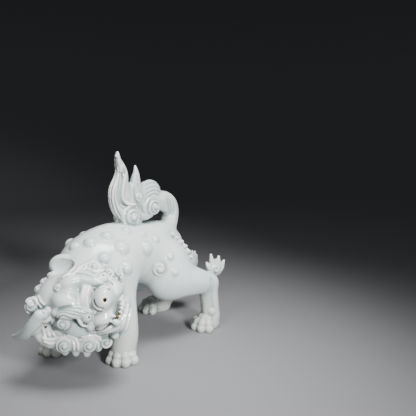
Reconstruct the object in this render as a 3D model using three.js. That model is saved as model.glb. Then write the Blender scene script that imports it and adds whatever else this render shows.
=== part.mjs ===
import * as THREE from "three";

// A porcelain guardian lion on all fours: head lowered and turned, tail flames raised over the back.
// It is one casting. Its forms are rounded masses that melt into each other, worked as a distance
// field on a grid. The skin of that field is then thinned to flat faces.
// Millimetres. X is the lion's left, Y its rear, Z up, and the soles stand on z = 0.

// The grid of the field, its corners, and the number of faces that the skin is thinned to
const GRID = 2;
const LOW = [-85, -165, -3];
const HIGH = [95, 165, 235];
const FACES = 9700;

// The middle of the figure's plan, which becomes the origin
const PLAN_CENTRE = [7.4, 5.5];

// Trunk and neck: middle and radius, from rump to head
const TRUNK = [
  [0, 50.5, 98, 31.5], [0, 37, 100, 36.5], [0, 10, 107, 37], [0, -20, 109, 39], [0, -46, 101, 40], [6, -62, 91, 34],
];
const NECK = [[4, -50, 98, 36], [10, -68, 88, 33], [17, -80, 82, 30]];
const SPINE = TRUNK.map(([, y, z]) => [y, z]);
// The rump rises to the root of the tail
const RUMP = [[0, 26, 118, 21], [0, 42, 120.5, 21], [0, 56, 118, 20], [0, 66, 111, 19.5]];

// Legs: joints in order from the body down, then the middle of the paw and where it points, in
// degrees from straight ahead towards the lion's left
const HIND_LEFT = {
  haunch: [26, 42, 82], stifle: [42, 70, 66], hock: [46, 94, 58], heel: [50, 95, 16], paw: [48, 87], points: 0,
};
const HIND_RIGHT = {
  haunch: [-26, 42, 82], stifle: [-36, 88, 60], hock: [-24, 120, 47], heel: [-40, 96, 12], paw: [-48, 85],
  points: -15,
};
const FRONT_LEFT = {
  shoulder: [25, -38, 96], elbow: [33.5, -37.5, 60], wrist: [35, -36, 30], paw: [35, -39], points: 40,
};
const FRONT_RIGHT = {
  shoulder: [-25, -42, 94], elbow: [-34, -52, 62], wrist: [-38, -64, 30], paw: [-42, -74], points: 0,
};
// Radii of the shank and of the upper and lower joints
const SHANK = { hock: 13.3, middle: 12, heel: 12.3 };
const FORELEG = { shoulder: 20, elbow: 16, wrist: 15, paw: 14 };
const HAUNCH = [25, 33, 36];
const SHOULDER = [19, 25, 32];
const PAW = { height: 18, reach: 13.5, spread: 38, toe: 5.7 };

// Bosses on the left flank: station along Y, degrees down from the spine, radius
const BOSSES = [
  [-74, 3, 5.5], [-63, 19, 6.6], [-43, 26, 6.7], [-18, 33, 5.7], [2, 42, 4.8], [19, 53, 4.8],
  [-60, 50, 6.4], [-37, 55, 8.2], [-1, 70, 8], [-39, 84, 6.8], [29, 84, 4.8], [30, 106, 4.2],
];
// How much of its radius a boss lies sunk in the skin. The spine gives the height between these stations.
const BOSS_SUNK = 0.45;
const SPINE_ENDS = [-61, 52];
// On the right flank they lie lower, and a little further back
const RIGHT_BOSS = { back: 4, drop: 25, squeeze: 0.8 };
const WHORL = { station: 14, angle: 107, radius: 9 };
const FRINGE = { from: [12, 36, 92], lifts: [60, 49, 38, 27, 16, 5], turn: 38, radius: 5.2 };

// Tail: stem, the fan and its spiral, two flames and a second spiral, all in the plane x = 0
const STEM = [
  [0, 55, 114, 14], [0, 64, 126, 12.3], [0, 70.5, 137, 11.2], [0, 74, 149, 10.3], [0, 71.5, 159, 10.5],
  [0, 65, 166, 10], [0, 55, 169, 9.5], [0, 46, 168, 8],
];
// What joins the fan to the stem, and each flame to the next
const WEBS = [
  [[0, 46, 163, 7.5], [0, 56, 161.5, 8], [0, 66, 157, 8.5]],
  [[0, 26, 187, 4.3], [0, 23, 177, 6], [0, 22, 166, 6.5], [0, 27, 156.5, 7]],
  [[0, 5, 189, 4], [0, 6, 178, 5.5], [0, 8, 168, 6]],
];
const FAN = { centre: [0, 37.5, 175.5], radii: [8.5, 18, 18], rings: [16, 20.5, 25, 29.5] };
const FAN_SPIRAL = { y: 37, z: 162.5, radius: 15.5 };
const BACK_SPIRAL = { y: 2.8, z: 155, radius: 13 };
const TAIL_BEAD = [6.5, 14.5, 175];
// Each flame row gives the middle, half the width and half the thickness
const LOBE = [
  [0, 50, 157, 4.5, 6], [0, 40, 151.5, 5.5, 7], [0, 29, 148, 5.5, 7.5], [0, 19, 151, 5.5, 8], [0, 13, 158, 6, 8],
  [0, 4, 165, 8, 8], [0, -4, 174, 9, 8], [0, -6, 184, 8.5, 7.5], [0, -4.5, 194, 7, 7], [0, -3, 204, 5.2, 6],
  [0, -5.5, 212, 4.4, 4.8], [0, -9, 220, 2.6, 3.4], [0, -9.8, 227, 1.5, 1.8],
];
const RIM = [
  [0, 18, 145, 4, 6], [0, 9, 144, 5, 7], [0, -1, 147, 5.5, 8], [0, -8, 155, 6, 8], [0, -14, 165, 6.5, 8],
  [0, -17, 176, 6.5, 7.8], [0, -16, 187, 6, 7.3], [0, -11, 198, 4.8, 6.3], [0, -9, 207, 3.8, 5.3],
  [0, -11, 215, 3.2, 4.4], [0, -11.5, 222, 2.5, 3.4], [0, -10.2, 228, 1.5, 1.6],
];
const SMALL_FLAME = [
  [0, 16, 168, 8, 7], [0, 14, 178, 8.5, 7], [0, 14, 187, 8, 6.3], [0, 15.5, 196, 6, 5], [0, 16.5, 204, 3.4, 3.2],
  [0, 15.5, 211, 1.4, 1.4],
];

// Tufts on the hocks: base, how far they splay from straight back, and the tips of their four leaves
const TUFTS = [{ base: [48, 105, 64], splay: 23 }, { base: [-18, 137.5, 52], splay: -23 }];
const LEAVES = [[-11, 20], [-5, 30], [6.5, 26.5], [14, 20]];

// The head's own frame. Places on the head are left, forward (out of the face) and crown from its middle.
const HEAD = [25, -87.5, 78];
const FORWARD = unit([0.7316, -0.366, 0.5751]);
const CROWN = unit(perpendicular([-0.6246, -0.698, 0.3503], FORWARD));
const LEFT = cross(CROWN, FORWARD);
const HEAD_AXES = [LEFT, FORWARD, CROWN];

// Each eye: its ball, the way into its pupil, its lid, the brow over it and the curl at the brow's end
const RIGHT_EYE = {
  ball: [-18.6, 28.6, -12.2], size: 6.3, pupil: [[-20.2, 40, -14.6, 1.1], [-20, 33.4, -14.4, 0.9]],
  lid: [[-20.5, 32, -3.8, 0.9], [-24, 29.8, -5.8, 1.5], [-27.3, 27.4, -11, 1.5], [-26.8, 27, -15.5, 0.9]],
  brow: [
    [-14.3, 33.8, -15.5, 2.4, 3], [-15.8, 33, -9, 4.2, 3.6], [-18.8, 30.3, 0, 6, 4.2], [-20.5, 25.8, 9, 6.6, 4.2],
    [-20.5, 20.5, 17.5, 4.5, 3],
  ],
  end: [-29.5, 21, 7],
};
const LEFT_EYE = {
  ball: [20.5, 28, -14.5], size: 7, pupil: [[24.5, 40, -15, 1.1], [24, 33, -14.5, 0.9]],
  lid: [[15, 33.5, -7, 1.1], [20.5, 31, -6.2, 1.6], [25.5, 28.5, -9.5, 1.6], [27.5, 26.5, -16, 1.1]],
  brow: [
    [14.5, 33, -15, 3, 3.5], [16, 31.5, -8, 5.5, 4], [18, 28, 2, 7.5, 4.2], [19, 23.5, 12, 7, 4],
    [17, 20, 19, 3.5, 2.5],
  ],
  end: [29.5, 17, 7],
};

// Right ear from base to tip: place, half the width and half the thickness
const RIGHT_EAR = [
  [-25.5, 12, 30, 6, 5.5], [-34, 3.2, 33, 6.5, 5.2], [-39.5, -6.8, 36.3, 6.2, 4.8],
  [-41.7, -16.2, 40.5, 5.4, 4.3], [-42.5, -24.8, 45, 4, 3.4], [-41.3, -32, 49.6, 2, 2],
];

// Ring of the mane round the face: place and radius
const MANE = [
  [-30, 8, -36, 7], [-36, 6, -23, 8.5], [-40, 3, -8, 8.5], [-39, -1, 9, 8], [-31, -4, 26, 7.5], [-15, -6, 36, 7.5],
  [3, -8, 37, 6], [19, -8, 33, 6], [32, -6, 20, 7], [36, -4, 7, 7], [32, 2, -6, 7], [31, 3, -20, 7.5],
  [29, 5, -32, 7],
];
// Where the mane swells under the right ear
const JOWL = [[-32, -6, 26, 5], [-39.5, -4.5, 19, 5.5], [-42.5, -2, 11, 6]];
// Curls on it: place, radius and the way each one faces
const CURLS = [
  [-33, 12.5, -38, 6.5, [-0.5, 0.85, -0.2]], [-39.5, 10.5, -23.5, 8.6, [-0.6, 0.8, -0.05]],
  [-46, 5, -12.5, 4, [-0.7, 0.7, 0]], [-44.5, 6.5, -1.5, 8.5, [-0.6, 0.8, 0]],
  [-41.5, 1.5, 12, 8.5, [-0.65, 0.75, 0.1]], [-24, 12.5, 25.5, 8, [-0.4, 0.85, 0.3]],
  [-15.5, 1, 40.5, 9, [-0.2, 0.85, 0.5]], [2.5, -2, 41.5, 5.5, [0, 0.6, 0.8]], [11, -1, 39.5, 5, [0.1, 0.6, 0.8]],
  [19.5, 1, 35.5, 4.5, [0.3, 0.6, 0.7]], [44, -4, 9, 6.5, [0.6, 0.8, 0.1]], [38, 6, -3, 5.5, [0.5, 0.85, 0]],
  [37.5, 6, -11, 5.5, [0.5, 0.85, 0]], [36.5, 6, -22, 8, [0.5, 0.85, 0]], [34, 9, -34, 6.5, [0.5, 0.85, -0.2]],
  [38, 19, 9.6, 7, [0.1, 0.95, 0.3]], [33, 22.3, -3.5, 4.4, [0.2, 0.95, 0.1]],
  [36.5, 20.3, -10.5, 4.7, [0.4, 0.9, 0]], [30.5, 24.3, -20.5, 7.2, [0.3, 0.9, -0.2]],
  [36, 15.5, -31, 5.5, [0.4, 0.9, -0.3]],
];
const SCALLOPS = [
  [-38.5, 6, -33, 4], [-45, 3, -24, 4.5], [-46.5, 0, -14, 4.5], [-48, -1, -4, 4.5], [-45.5, -4, 6, 4.5],
];
const COLLAR = { radius: 38, behind: -17, curl: 9.5, from: -70, to: 250, every: 29 };

// Vectors

function plus(p, q, k = 1) {
  return [p[0] + k * q[0], p[1] + k * q[1], p[2] + k * q[2]];
}

function dot(p, q) {
  return p[0] * q[0] + p[1] * q[1] + p[2] * q[2];
}

function cross(p, q) {
  return [p[1] * q[2] - p[2] * q[1], p[2] * q[0] - p[0] * q[2], p[0] * q[1] - p[1] * q[0]];
}

function unit(p) {
  const size = Math.hypot(...p);
  return p.map((v) => v / size);
}

function perpendicular(p, axis) {
  return plus(p, axis, -dot(p, axis));
}

function clamp(v, low, high) {
  return Math.min(Math.max(v, low), high);
}

// The way round by degrees from -Y towards +X, level with the ground
function heading(degrees) {
  const t = THREE.MathUtils.degToRad(degrees);
  return [Math.sin(t), -Math.cos(t), 0];
}

// A place on the head, with any sizes that follow it in the row
function head([left, forward, crown, ...sizes]) {
  let p = plus(HEAD, LEFT, left);
  p = plus(p, FORWARD, forward);
  return [...plus(p, CROWN, crown), ...sizes];
}

function headWay([left, forward, crown]) {
  return unit(plus(plus(LEFT.map((v) => v * left), FORWARD, forward), CROWN, crown));
}

// A smooth curve through rows of numbers, as count rows
function smooth(rows, count) {
  const last = rows.length - 1;
  const row = (i) => {
    if (i < 0) return rows[0].map((v, k) => 2 * v - rows[1][k]);
    if (i > last) return rows[last].map((v, k) => 2 * v - rows[last - 1][k]);
    return rows[i];
  };
  return Array.from({ length: count }, (_, n) => {
    const t = (n * last) / (count - 1);
    const i = Math.min(Math.floor(t), last - 1);
    return row(i).map((v, k) => between(t - i, row(i - 1)[k], v, row(i + 1)[k], row(i + 2)[k]));
  });
}

function between(f, a, b, c, d) {
  return 0.5 * (2 * b + (c - a) * f + (2 * a - 5 * b + 4 * c - d) * f ** 2 + (3 * b - a - 3 * c + d) * f ** 3);
}

// Shapes: each has the corners of its box and at(x, y, z), the distance from its skin

// Keeps a division at the middle of a shape from failing
const TINY = 1e-6;

function boxOf(rows, reach) {
  const side = (sign, pick) => [0, 1, 2].map((i) => pick(...rows.map((row) => row[i] + sign * reach(row))));
  return { low: side(-1, Math.min), high: side(1, Math.max) };
}

function blob(centre, radii, axes = [[1, 0, 0], [0, 1, 0], [0, 0, 1]]) {
  const reach = [0, 1, 2].map((i) => Math.hypot(...axes.map((axis, k) => axis[i] * radii[k])));
  const at = (x, y, z) => {
    const q = [x - centre[0], y - centre[1], z - centre[2]];
    let near = 0;
    let steep = 0;
    for (let k = 0; k < 3; k++) {
      const u = dot(axes[k], q) / radii[k];
      near += u * u;
      steep += (u / radii[k]) ** 2;
    }
    near = Math.sqrt(near);
    return (near * (near - 1)) / Math.max(Math.sqrt(steep), TINY);
  };
  return { low: plus(centre, reach, -1), high: plus(centre, reach), at };
}

// A round limb. Rows are x, y, z, radius.
function limb(rows, count = 16) {
  const line = smooth(rows, count);
  const at = (x, y, z) => {
    let best = Infinity;
    for (let i = 1; i < line.length; i++) {
      const a = line[i - 1];
      const b = line[i];
      const dx = b[0] - a[0];
      const dy = b[1] - a[1];
      const dz = b[2] - a[2];
      const along = ((x - a[0]) * dx + (y - a[1]) * dy + (z - a[2]) * dz) / (dx * dx + dy * dy + dz * dz);
      const t = clamp(along, 0, 1);
      const away = Math.hypot(x - a[0] - t * dx, y - a[1] - t * dy, z - a[2] - t * dz);
      best = Math.min(best, away - Math.max(a[3] + t * (b[3] - a[3]), 0.2));
    }
    return best;
  };
  return { ...boxOf(line, (row) => row[3]), at };
}

// A domed lock of hair with a groove that winds in to a small round centre
function curl(centre, facing, radius, height, { turns = 1.6, depth = 1.2, start = [0, 0, 1], hand = 1 } = {}) {
  const n = unit(facing);
  const u = unit(perpendicular(start, n));
  const v = cross(n, u);
  const dome = blob(centre, [radius, radius, height], [u, v, n]);
  const at = (x, y, z) => {
    const q = [x - centre[0], y - centre[1], z - centre[2]];
    const s = dot(q, u);
    const t = dot(q, v);
    const out = Math.hypot(s, t) / radius;
    const wave = Math.cos(2 * Math.PI * out * turns - Math.atan2(t, s) * hand);
    return dome.at(x, y, z) + depth * (0.5 - 0.5 * wave) * clamp((out - 0.12) / 0.2, 0, 1);
  };
  return { ...dome, at };
}

// A flat lock along a curve. Rows are x, y, z, half width, half thickness. Its thickness lies along
// flat, and ridges run down it.
function lock(rows, flat, { ridges = 0, depth = 0.8, count = 18 } = {}) {
  const line = smooth(rows, count);
  const pieces = line.slice(1).map((b, i) => {
    const a = line[i];
    const span = plus(b, a, -1);
    const along = unit(span);
    const side = unit(cross(flat, along));
    return { a, b, span, along, side, up: cross(along, side), size: dot(span, span) };
  });
  const at = (x, y, z) => {
    let best = Infinity;
    let across = 0;
    for (const { a, b, span, along, side, up, size } of pieces) {
      const p = [x - a[0], y - a[1], z - a[2]];
      const t = clamp(dot(p, span) / size, 0, 1);
      const q = plus(p, span, -t);
      const wide = Math.max(a[3] + t * (b[3] - a[3]), 0.3);
      const thick = Math.max(a[4] + t * (b[4] - a[4]), 0.3);
      const radii = [wide, thick, Math.min(wide, thick)];
      const u = [dot(q, side) / wide, dot(q, up) / thick, dot(q, along) / radii[2]];
      const near = Math.hypot(...u);
      const steep = Math.hypot(u[0] / radii[0], u[1] / radii[1], u[2] / radii[2]);
      const d = (near * (near - 1)) / Math.max(steep, TINY);
      if (d < best) {
        best = d;
        across = u[0];
      }
    }
    if (!ridges) return best;
    const phase = (across * ridges) / 2 + (ridges % 2 ? 0 : 0.5);
    return best + depth * (0.5 - 0.5 * Math.cos(2 * Math.PI * phase));
  };
  return { ...boxOf(line, (row) => Math.max(row[3], row[4])), at };
}

// A shape with round grooves about a centre on both of its flat sides
function ringed(shape, centre, rings, facing, depth) {
  const at = (x, y, z) => {
    const q = [x - centre[0], y - centre[1], z - centre[2]];
    const along = dot(q, facing);
    const out = Math.hypot(...plus(q, facing, -along));
    const groove = Math.max(...rings.map((r) => Math.exp(-(((out - r) / 1.1) ** 2))));
    return shape.at(x, y, z) + depth * groove * clamp((Math.abs(along) - 1.5) / 3, 0, 1);
  };
  return { ...shape, at };
}

// Empty space starts this far from the skin, and a shape changes the field at least this far round it
const FAR = 30;
const MARGIN = 10;

// The field: negative inside. What is added or cut melts into the rest over the length blend.
class Clay {
  constructor(low, high, step) {
    this.low = low;
    this.step = step;
    this.count = high.map((v, i) => Math.ceil((v - low[i]) / step) + 1);
    this.field = new Float32Array(this.count[0] * this.count[1] * this.count[2]).fill(FAR);
  }

  index(i, j, k) {
    return (i * this.count[1] + j) * this.count[2] + k;
  }

  // Calls change(value, distance) for each node near a shape, and keeps what it returns
  work(shape, margin, change) {
    const { low, step, count, field } = this;
    const first = shape.low.map((v, i) => clamp(Math.floor((v - margin - low[i]) / step), 0, count[i] - 1));
    const last = shape.high.map((v, i) => clamp(Math.ceil((v + margin - low[i]) / step), 0, count[i] - 1));
    for (let i = first[0]; i <= last[0]; i++) {
      for (let j = first[1]; j <= last[1]; j++) {
        for (let k = first[2]; k <= last[2]; k++) {
          const n = this.index(i, j, k);
          field[n] = change(field[n], shape.at(low[0] + i * step, low[1] + j * step, low[2] + k * step));
        }
      }
    }
  }

  add(shape, blend) {
    this.work(shape, Math.max(MARGIN, blend), (f, d) => {
      const melt = Math.max(blend - Math.abs(f - d), 0);
      return Math.min(f, d) - (melt * melt) / (4 * blend);
    });
  }

  cut(shape, blend) {
    this.work(shape, blend + 1, (f, d) => {
      const melt = Math.max(blend - Math.abs(f + d), 0);
      return Math.max(f, -d) + (melt * melt) / (4 * blend);
    });
  }

  // Nothing is left below the ground
  level() {
    for (let n = 0; n < this.field.length; n++) {
      const z = this.low[2] + (n % this.count[2]) * this.step;
      this.field[n] = Math.max(this.field[n], -z);
    }
  }

  sample(p) {
    const q = p.map((v, i) => (v - this.low[i]) / this.step);
    const c = q.map((v, i) => clamp(Math.floor(v), 0, this.count[i] - 2));
    let total = 0;
    for (let corner = 0; corner < 8; corner++) {
      const d = [corner & 1, (corner >> 1) & 1, corner >> 2];
      const share = d.reduce((w, on, i) => w * (on ? q[i] - c[i] : 1 - q[i] + c[i]), 1);
      total += share * this.field[this.index(c[0] + d[0], c[1] + d[1], c[2] + d[2])];
    }
    return total;
  }

  // Where the skin is met on the way out from a point, and which way the skin faces there
  skin(from, way) {
    const d = unit(way);
    let p = from;
    while (this.sample(p) < 0) p = plus(p, d, this.step / 5);
    const facing = [0, 1, 2].map((i) => {
      const ahead = p.with(i, p[i] + this.step);
      const behind = p.with(i, p[i] - this.step);
      return this.sample(ahead) - this.sample(behind);
    });
    return { p, facing: unit(facing) };
  }
}

// Corner c of a grid cell lies at bits 0, 1 and 2 of c along x, y and z
const CORNERS = [0, 1, 2, 3, 4, 5, 6, 7].map((c) => [c & 1, (c >> 1) & 1, c >> 2]);
const CELL_EDGES = CORNERS.flatMap((_, c) => [1, 2, 4].filter((bit) => !(c & bit)).map((bit) => [c, c | bit]));
const CELL_FACES = [[0, 1, 3, 2], [0, 2, 6, 4], [0, 4, 5, 1], [7, 6, 4, 5], [7, 5, 1, 3], [7, 3, 2, 6]];

// Calls visit(cell, inside corners as bits) for each cell that the skin passes through
function crossedCells(clay, visit) {
  const [nx, ny, nz] = clay.count;
  const steps = CORNERS.map(([i, j, k]) => clay.index(i, j, k));
  for (let i = 0; i < nx - 1; i++) {
    for (let j = 0; j < ny - 1; j++) {
      for (let k = 0; k < nz - 1; k++) {
        const start = clay.index(i, j, k);
        let inside = 0;
        for (let c = 0; c < 8; c++) if (clay.field[start + steps[c]] < 0) inside |= 1 << c;
        if (inside !== 0 && inside !== 255) visit({ i, j, k, start, steps }, inside);
      }
    }
  }
}

const JUST_INSIDE = -0.05;

// Where two solid corners of a cell's face touch only across its diagonal, an empty one is filled,
// so that the skin never meets itself along an edge
function fillDiagonals(clay) {
  let filled = 0;
  crossedCells(clay, ({ start, steps }, inside) => {
    for (const [a, b, c, d] of CELL_FACES) {
      const [p, q, r, s] = [a, b, c, d].map((corner) => (inside >> corner) & 1);
      if (p !== r || q !== s || p === q) continue;
      const [m, n] = (p ? [b, d] : [a, c]).map((corner) => start + steps[corner]);
      clay.field[clay.field[m] < clay.field[n] ? m : n] = JUST_INSIDE;
      filled++;
    }
  });
  if (filled) fillDiagonals(clay);
}

// The skin of the field as triangles: a vertex in each crossed cell, and two triangles across each
// crossed edge of the grid
function skinOf(clay) {
  fillDiagonals(clay);
  const { field, low, step } = clay;
  const places = [];
  const vertexOf = new Map();
  const triangles = [];
  crossedCells(clay, ({ i, j, k, start, steps }, inside) => {
    let total = [0, 0, 0];
    let crossings = 0;
    for (const [a, b] of CELL_EDGES) {
      if (((inside >> a) & 1) === ((inside >> b) & 1)) continue;
      const f = field[start + steps[a]];
      const t = f / (f - field[start + steps[b]]);
      total = plus(total, CORNERS[a].map((v, n) => v + t * (CORNERS[b][n] - v)));
      crossings++;
    }
    vertexOf.set(start, places.length);
    places.push([i, j, k].map((v, n) => low[n] + step * (v + total[n] / crossings)));
  });
  const strides = [clay.index(1, 0, 0), clay.index(0, 1, 0), 1];
  for (let axis = 0; axis < 3; axis++) {
    const [u, v] = [strides[(axis + 1) % 3], strides[(axis + 2) % 3]];
    for (const start of vertexOf.keys()) {
      const from = field[start] < 0;
      if (from === field[start + strides[axis]] < 0) continue;
      const ring = [start, start - u, start - u - v, start - v].map((cell) => vertexOf.get(cell));
      const [a, b, c, d] = from ? ring : ring.reverse();
      triangles.push([a, b, c], [a, c, d]);
    }
  }
  return { places, triangles };
}

// Only the shell with the most triangles. Triangles are of one shell if they share an edge.
function largestShell({ places, triangles }) {
  const parent = triangles.map((_, t) => t);
  const root = (t) => {
    while (parent[t] !== t) {
      parent[t] = parent[parent[t]];
      t = parent[t];
    }
    return t;
  };
  const firstOn = new Map();
  triangles.forEach(([a, b, c], t) => {
    for (const [p, q] of [[a, b], [b, c], [c, a]]) {
      const edge = Math.min(p, q) * places.length + Math.max(p, q);
      if (firstOn.has(edge)) parent[root(t)] = root(firstOn.get(edge));
      else firstOn.set(edge, t);
    }
  });
  const size = new Map();
  triangles.forEach((_, t) => size.set(root(t), (size.get(root(t)) ?? 0) + 1));
  const largest = [...size].sort((p, q) => q[1] - p[1])[0][0];
  return { places, triangles: triangles.filter((_, t) => root(t) === largest) };
}

// Thinning: the edge whose loss moves the skin least is closed up, again and again. A vertex holds
// the sum of squared distances to the planes of the faces it stands for: ten numbers, the upper
// half of a symmetric 4 by 4 matrix.

// A face may not become less full than this, nor turn so far that the cosine falls below this
const SLIVER = 0.06;
const LEAST_COSINE = 0.25;
// What lies this low stands on the ground
const GROUND = 0.6;
// How strongly a vertex is drawn to the middle of its edge where the skin is flat
const PULL = 1e-3;

function planeSum([nx, ny, nz], d, weight) {
  const sum = [nx * nx, nx * ny, nx * nz, nx * d, ny * ny, ny * nz, ny * d, nz * nz, nz * d, d * d];
  return sum.map((v) => v * weight);
}

function squaredError(m, [x, y, z]) {
  return (
    m[0] * x * x + 2 * m[1] * x * y + 2 * m[2] * x * z + 2 * m[3] * x +
    m[4] * y * y + 2 * m[5] * y * z + 2 * m[6] * y + m[7] * z * z + 2 * m[8] * z + m[9]
  );
}

// The point of least error, drawn a little towards middle so that flat places still have one
function bestPoint(m, middle) {
  const pull = PULL * (m[0] + m[4] + m[7]) + 1e-9;
  const [a, b, c, d, e, f] = [m[0] + pull, m[1], m[2], m[4] + pull, m[5], m[7] + pull];
  const [x, y, z] = [pull * middle[0] - m[3], pull * middle[1] - m[6], pull * middle[2] - m[8]];
  const [p, q, r] = [d * f - e * e, c * e - b * f, b * e - c * d];
  const scale = 1 / (a * p + b * q + c * r);
  return [
    (p * x + q * y + r * z) * scale,
    (q * x + (a * f - c * c) * y + (b * c - a * e) * z) * scale,
    (r * x + (b * c - a * e) * y + (a * d - b * b) * z) * scale,
  ];
}

// How full a triangle is, from 0 for a line to 0.87 for one with equal sides
function fullnessOf(normal, [p, q, r]) {
  const edges = [plus(p, q, -1), plus(q, r, -1), plus(r, p, -1)].map((e) => dot(e, e));
  return Math.hypot(...normal) / Math.max(...edges);
}

// A queue that gives back the entry of least cost first
class Queue {
  entries = [];

  push(entry) {
    const heap = this.entries;
    let i = heap.push(entry) - 1;
    while (i > 0) {
      const up = (i - 1) >> 1;
      if (heap[up].cost <= entry.cost) break;
      heap[i] = heap[up];
      i = up;
    }
    heap[i] = entry;
  }

  pop() {
    const heap = this.entries;
    const first = heap[0];
    const entry = heap.pop();
    if (!heap.length) return first;
    let i = 0;
    while (true) {
      let down = 2 * i + 1;
      if (down >= heap.length) break;
      if (down + 1 < heap.length && heap[down + 1].cost < heap[down].cost) down++;
      if (heap[down].cost >= entry.cost) break;
      heap[i] = heap[down];
      i = down;
    }
    heap[i] = entry;
    return first;
  }
}

function thin({ places, triangles }, target) {
  const sums = places.map(() => new Array(10).fill(0));
  const around = places.map(() => new Set());
  const stamp = new Int32Array(places.length);
  const onGround = places.map(([, , z]) => z < GROUND);
  places.forEach((p, v) => onGround[v] && (p[2] = 0));
  const across = ([a, b, c], moved, place) => {
    const [p, q, r] = [a, b, c].map((v) => (v === moved ? place : places[v]));
    return cross(plus(q, p, -1), plus(r, p, -1));
  };
  triangles.forEach((face, t) => {
    const n = across(face);
    const area = Math.hypot(...n) / 2;
    const normal = unit(n);
    const sum = planeSum(normal, -dot(normal, places[face[0]]), area);
    for (const v of face) {
      sum.forEach((s, i) => (sums[v][i] += s));
      around[v].add(t);
    }
  });

  const neighbours = (v) => {
    const found = new Set();
    for (const t of around[v]) for (const w of triangles[t]) found.add(w);
    found.delete(v);
    return found;
  };

  const queue = new Queue();
  const offer = (a, b) => {
    const sum = sums[a].map((v, i) => v + sums[b][i]);
    const middle = plus(places[a], places[b]).map((v) => v / 2);
    let place = bestPoint(sum, middle);
    if (onGround[a] && onGround[b]) place = place.with(2, 0);
    else if (onGround[a]) place = places[a];
    else if (onGround[b]) place = places[b];
    if (place[2] < 0) place = place.with(2, 0);
    queue.push({ cost: squaredError(sum, place), a, b, place, sum, stamps: stamp[a] + stamp[b] });
  };

  // A face may neither turn over nor grow thinner than a sliver
  const spoils = (v, other, place) => {
    for (const t of around[v]) {
      const face = triangles[t];
      if (face.includes(other)) continue;
      const before = across(face);
      const after = across(face, v, place);
      if (dot(before, after) < LEAST_COSINE * Math.hypot(...before) * Math.hypot(...after)) return true;
      const fullness = fullnessOf(after, face.map((w) => (w === v ? place : places[w])));
      if (fullness < SLIVER && fullness < fullnessOf(before, face.map((w) => places[w]))) return true;
    }
    return false;
  };

  const close = ({ a, b, place, sum, stamps }) => {
    if (stamps !== stamp[a] + stamp[b] || !around[a].size || !around[b].size) return;
    const near = neighbours(a);
    if (!near.has(b) || [...neighbours(b)].filter((v) => near.has(v)).length !== 2) return;
    if (spoils(a, b, place) || spoils(b, a, place)) return;
    for (const t of around[b]) {
      const face = triangles[t];
      if (face.includes(a)) {
        for (const v of face) if (v !== b) around[v].delete(t);
        triangles[t] = null;
        left--;
      } else {
        triangles[t] = face.map((v) => (v === b ? a : v));
        around[a].add(t);
      }
    }
    around[b].clear();
    places[a] = place;
    sums[a] = sum;
    onGround[a] = onGround[a] || onGround[b];
    stamp[a]++;
    for (const v of neighbours(a)) offer(a, v);
  };

  let left = triangles.length;
  for (let before = left + 1; left > target && left < before; ) {
    before = left;
    for (const face of triangles) {
      if (!face) continue;
      const [a, b, c] = face;
      for (const [p, q] of [[a, b], [b, c], [c, a]]) if (p < q) offer(p, q);
    }
    while (left > target && queue.entries.length) close(queue.pop());
  }
  return { places, triangles: triangles.filter(Boolean) };
}

// The figure

function trunk(clay) {
  clay.add(limb(TRUNK, 24), 4);
  clay.add(limb(NECK, 8), 12);
  clay.add(limb(RUMP, 10), 8);
}

function hindLeg(clay, { haunch, stifle, hock, heel, paw: place, points }) {
  const shank = plus(hock, heel).map((v) => v / 2);
  clay.add(blob(haunch, HAUNCH), 12);
  const thigh = [haunch[0] * 1.2, haunch[1] + 4, haunch[2] - 9, 25];
  clay.add(limb([thigh, [...stifle, 18], [...hock, SHANK.hock]], 20), 8);
  clay.add(limb([[...hock, SHANK.hock], [...shank, SHANK.middle], [...heel, SHANK.heel]], 8), 4);
  const tendon = [plus(hock, [0, -9, -8]), plus(shank, [0, -9, 0]), plus(heel, [0, -10, 6])];
  clay.add(limb(tendon.map((p) => [...p, 2.5]), 6), 3);
  clay.add(blob([heel[0], heel[1] - 1, 6], [11.5, 11.5, 9.5]), 3);
  paw(clay, place, points);
}

function frontLeg(clay, { shoulder, elbow, wrist, paw: place, points }) {
  clay.add(blob(shoulder, SHOULDER), 14);
  const joints = [[...shoulder, FORELEG.shoulder], [...elbow, FORELEG.elbow], [...wrist, FORELEG.wrist]];
  clay.add(limb([...joints, [...place, FORELEG.paw, FORELEG.paw]], 10), 8);
  paw(clay, place, points);
}

// A pad with four bent toes, each with a short claw
function paw(clay, [x, y], points) {
  const { height, reach, spread, toe } = PAW;
  const middle = [x, y, 0];
  clay.add(blob(plus([x, y, 7], heading(points), -4), [13.5, 13.5, 13]), 5);
  for (const i of [-1.5, -0.5, 0.5, 1.5]) {
    const way = heading(points + i * spread);
    const at = (out, up, r) => [...plus(plus(middle, way, out), [0, 0, 1], up), r];
    const top = height - toe;
    const bend = [at(reach * 0.3, top, toe), at(reach * 0.85, top - 1, toe), at(reach, 7, toe * 0.9)];
    clay.add(limb([...bend, at(reach, 0, toe * 0.92)], 8), 0.8);
    const tip = reach + toe;
    clay.add(limb([at(tip - 1.3, 8, 1.2), at(tip - 0.1, 4.5, 1.8), at(tip - 0.5, 0.5, 1)], 5), 0.5);
  }
}

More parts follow.
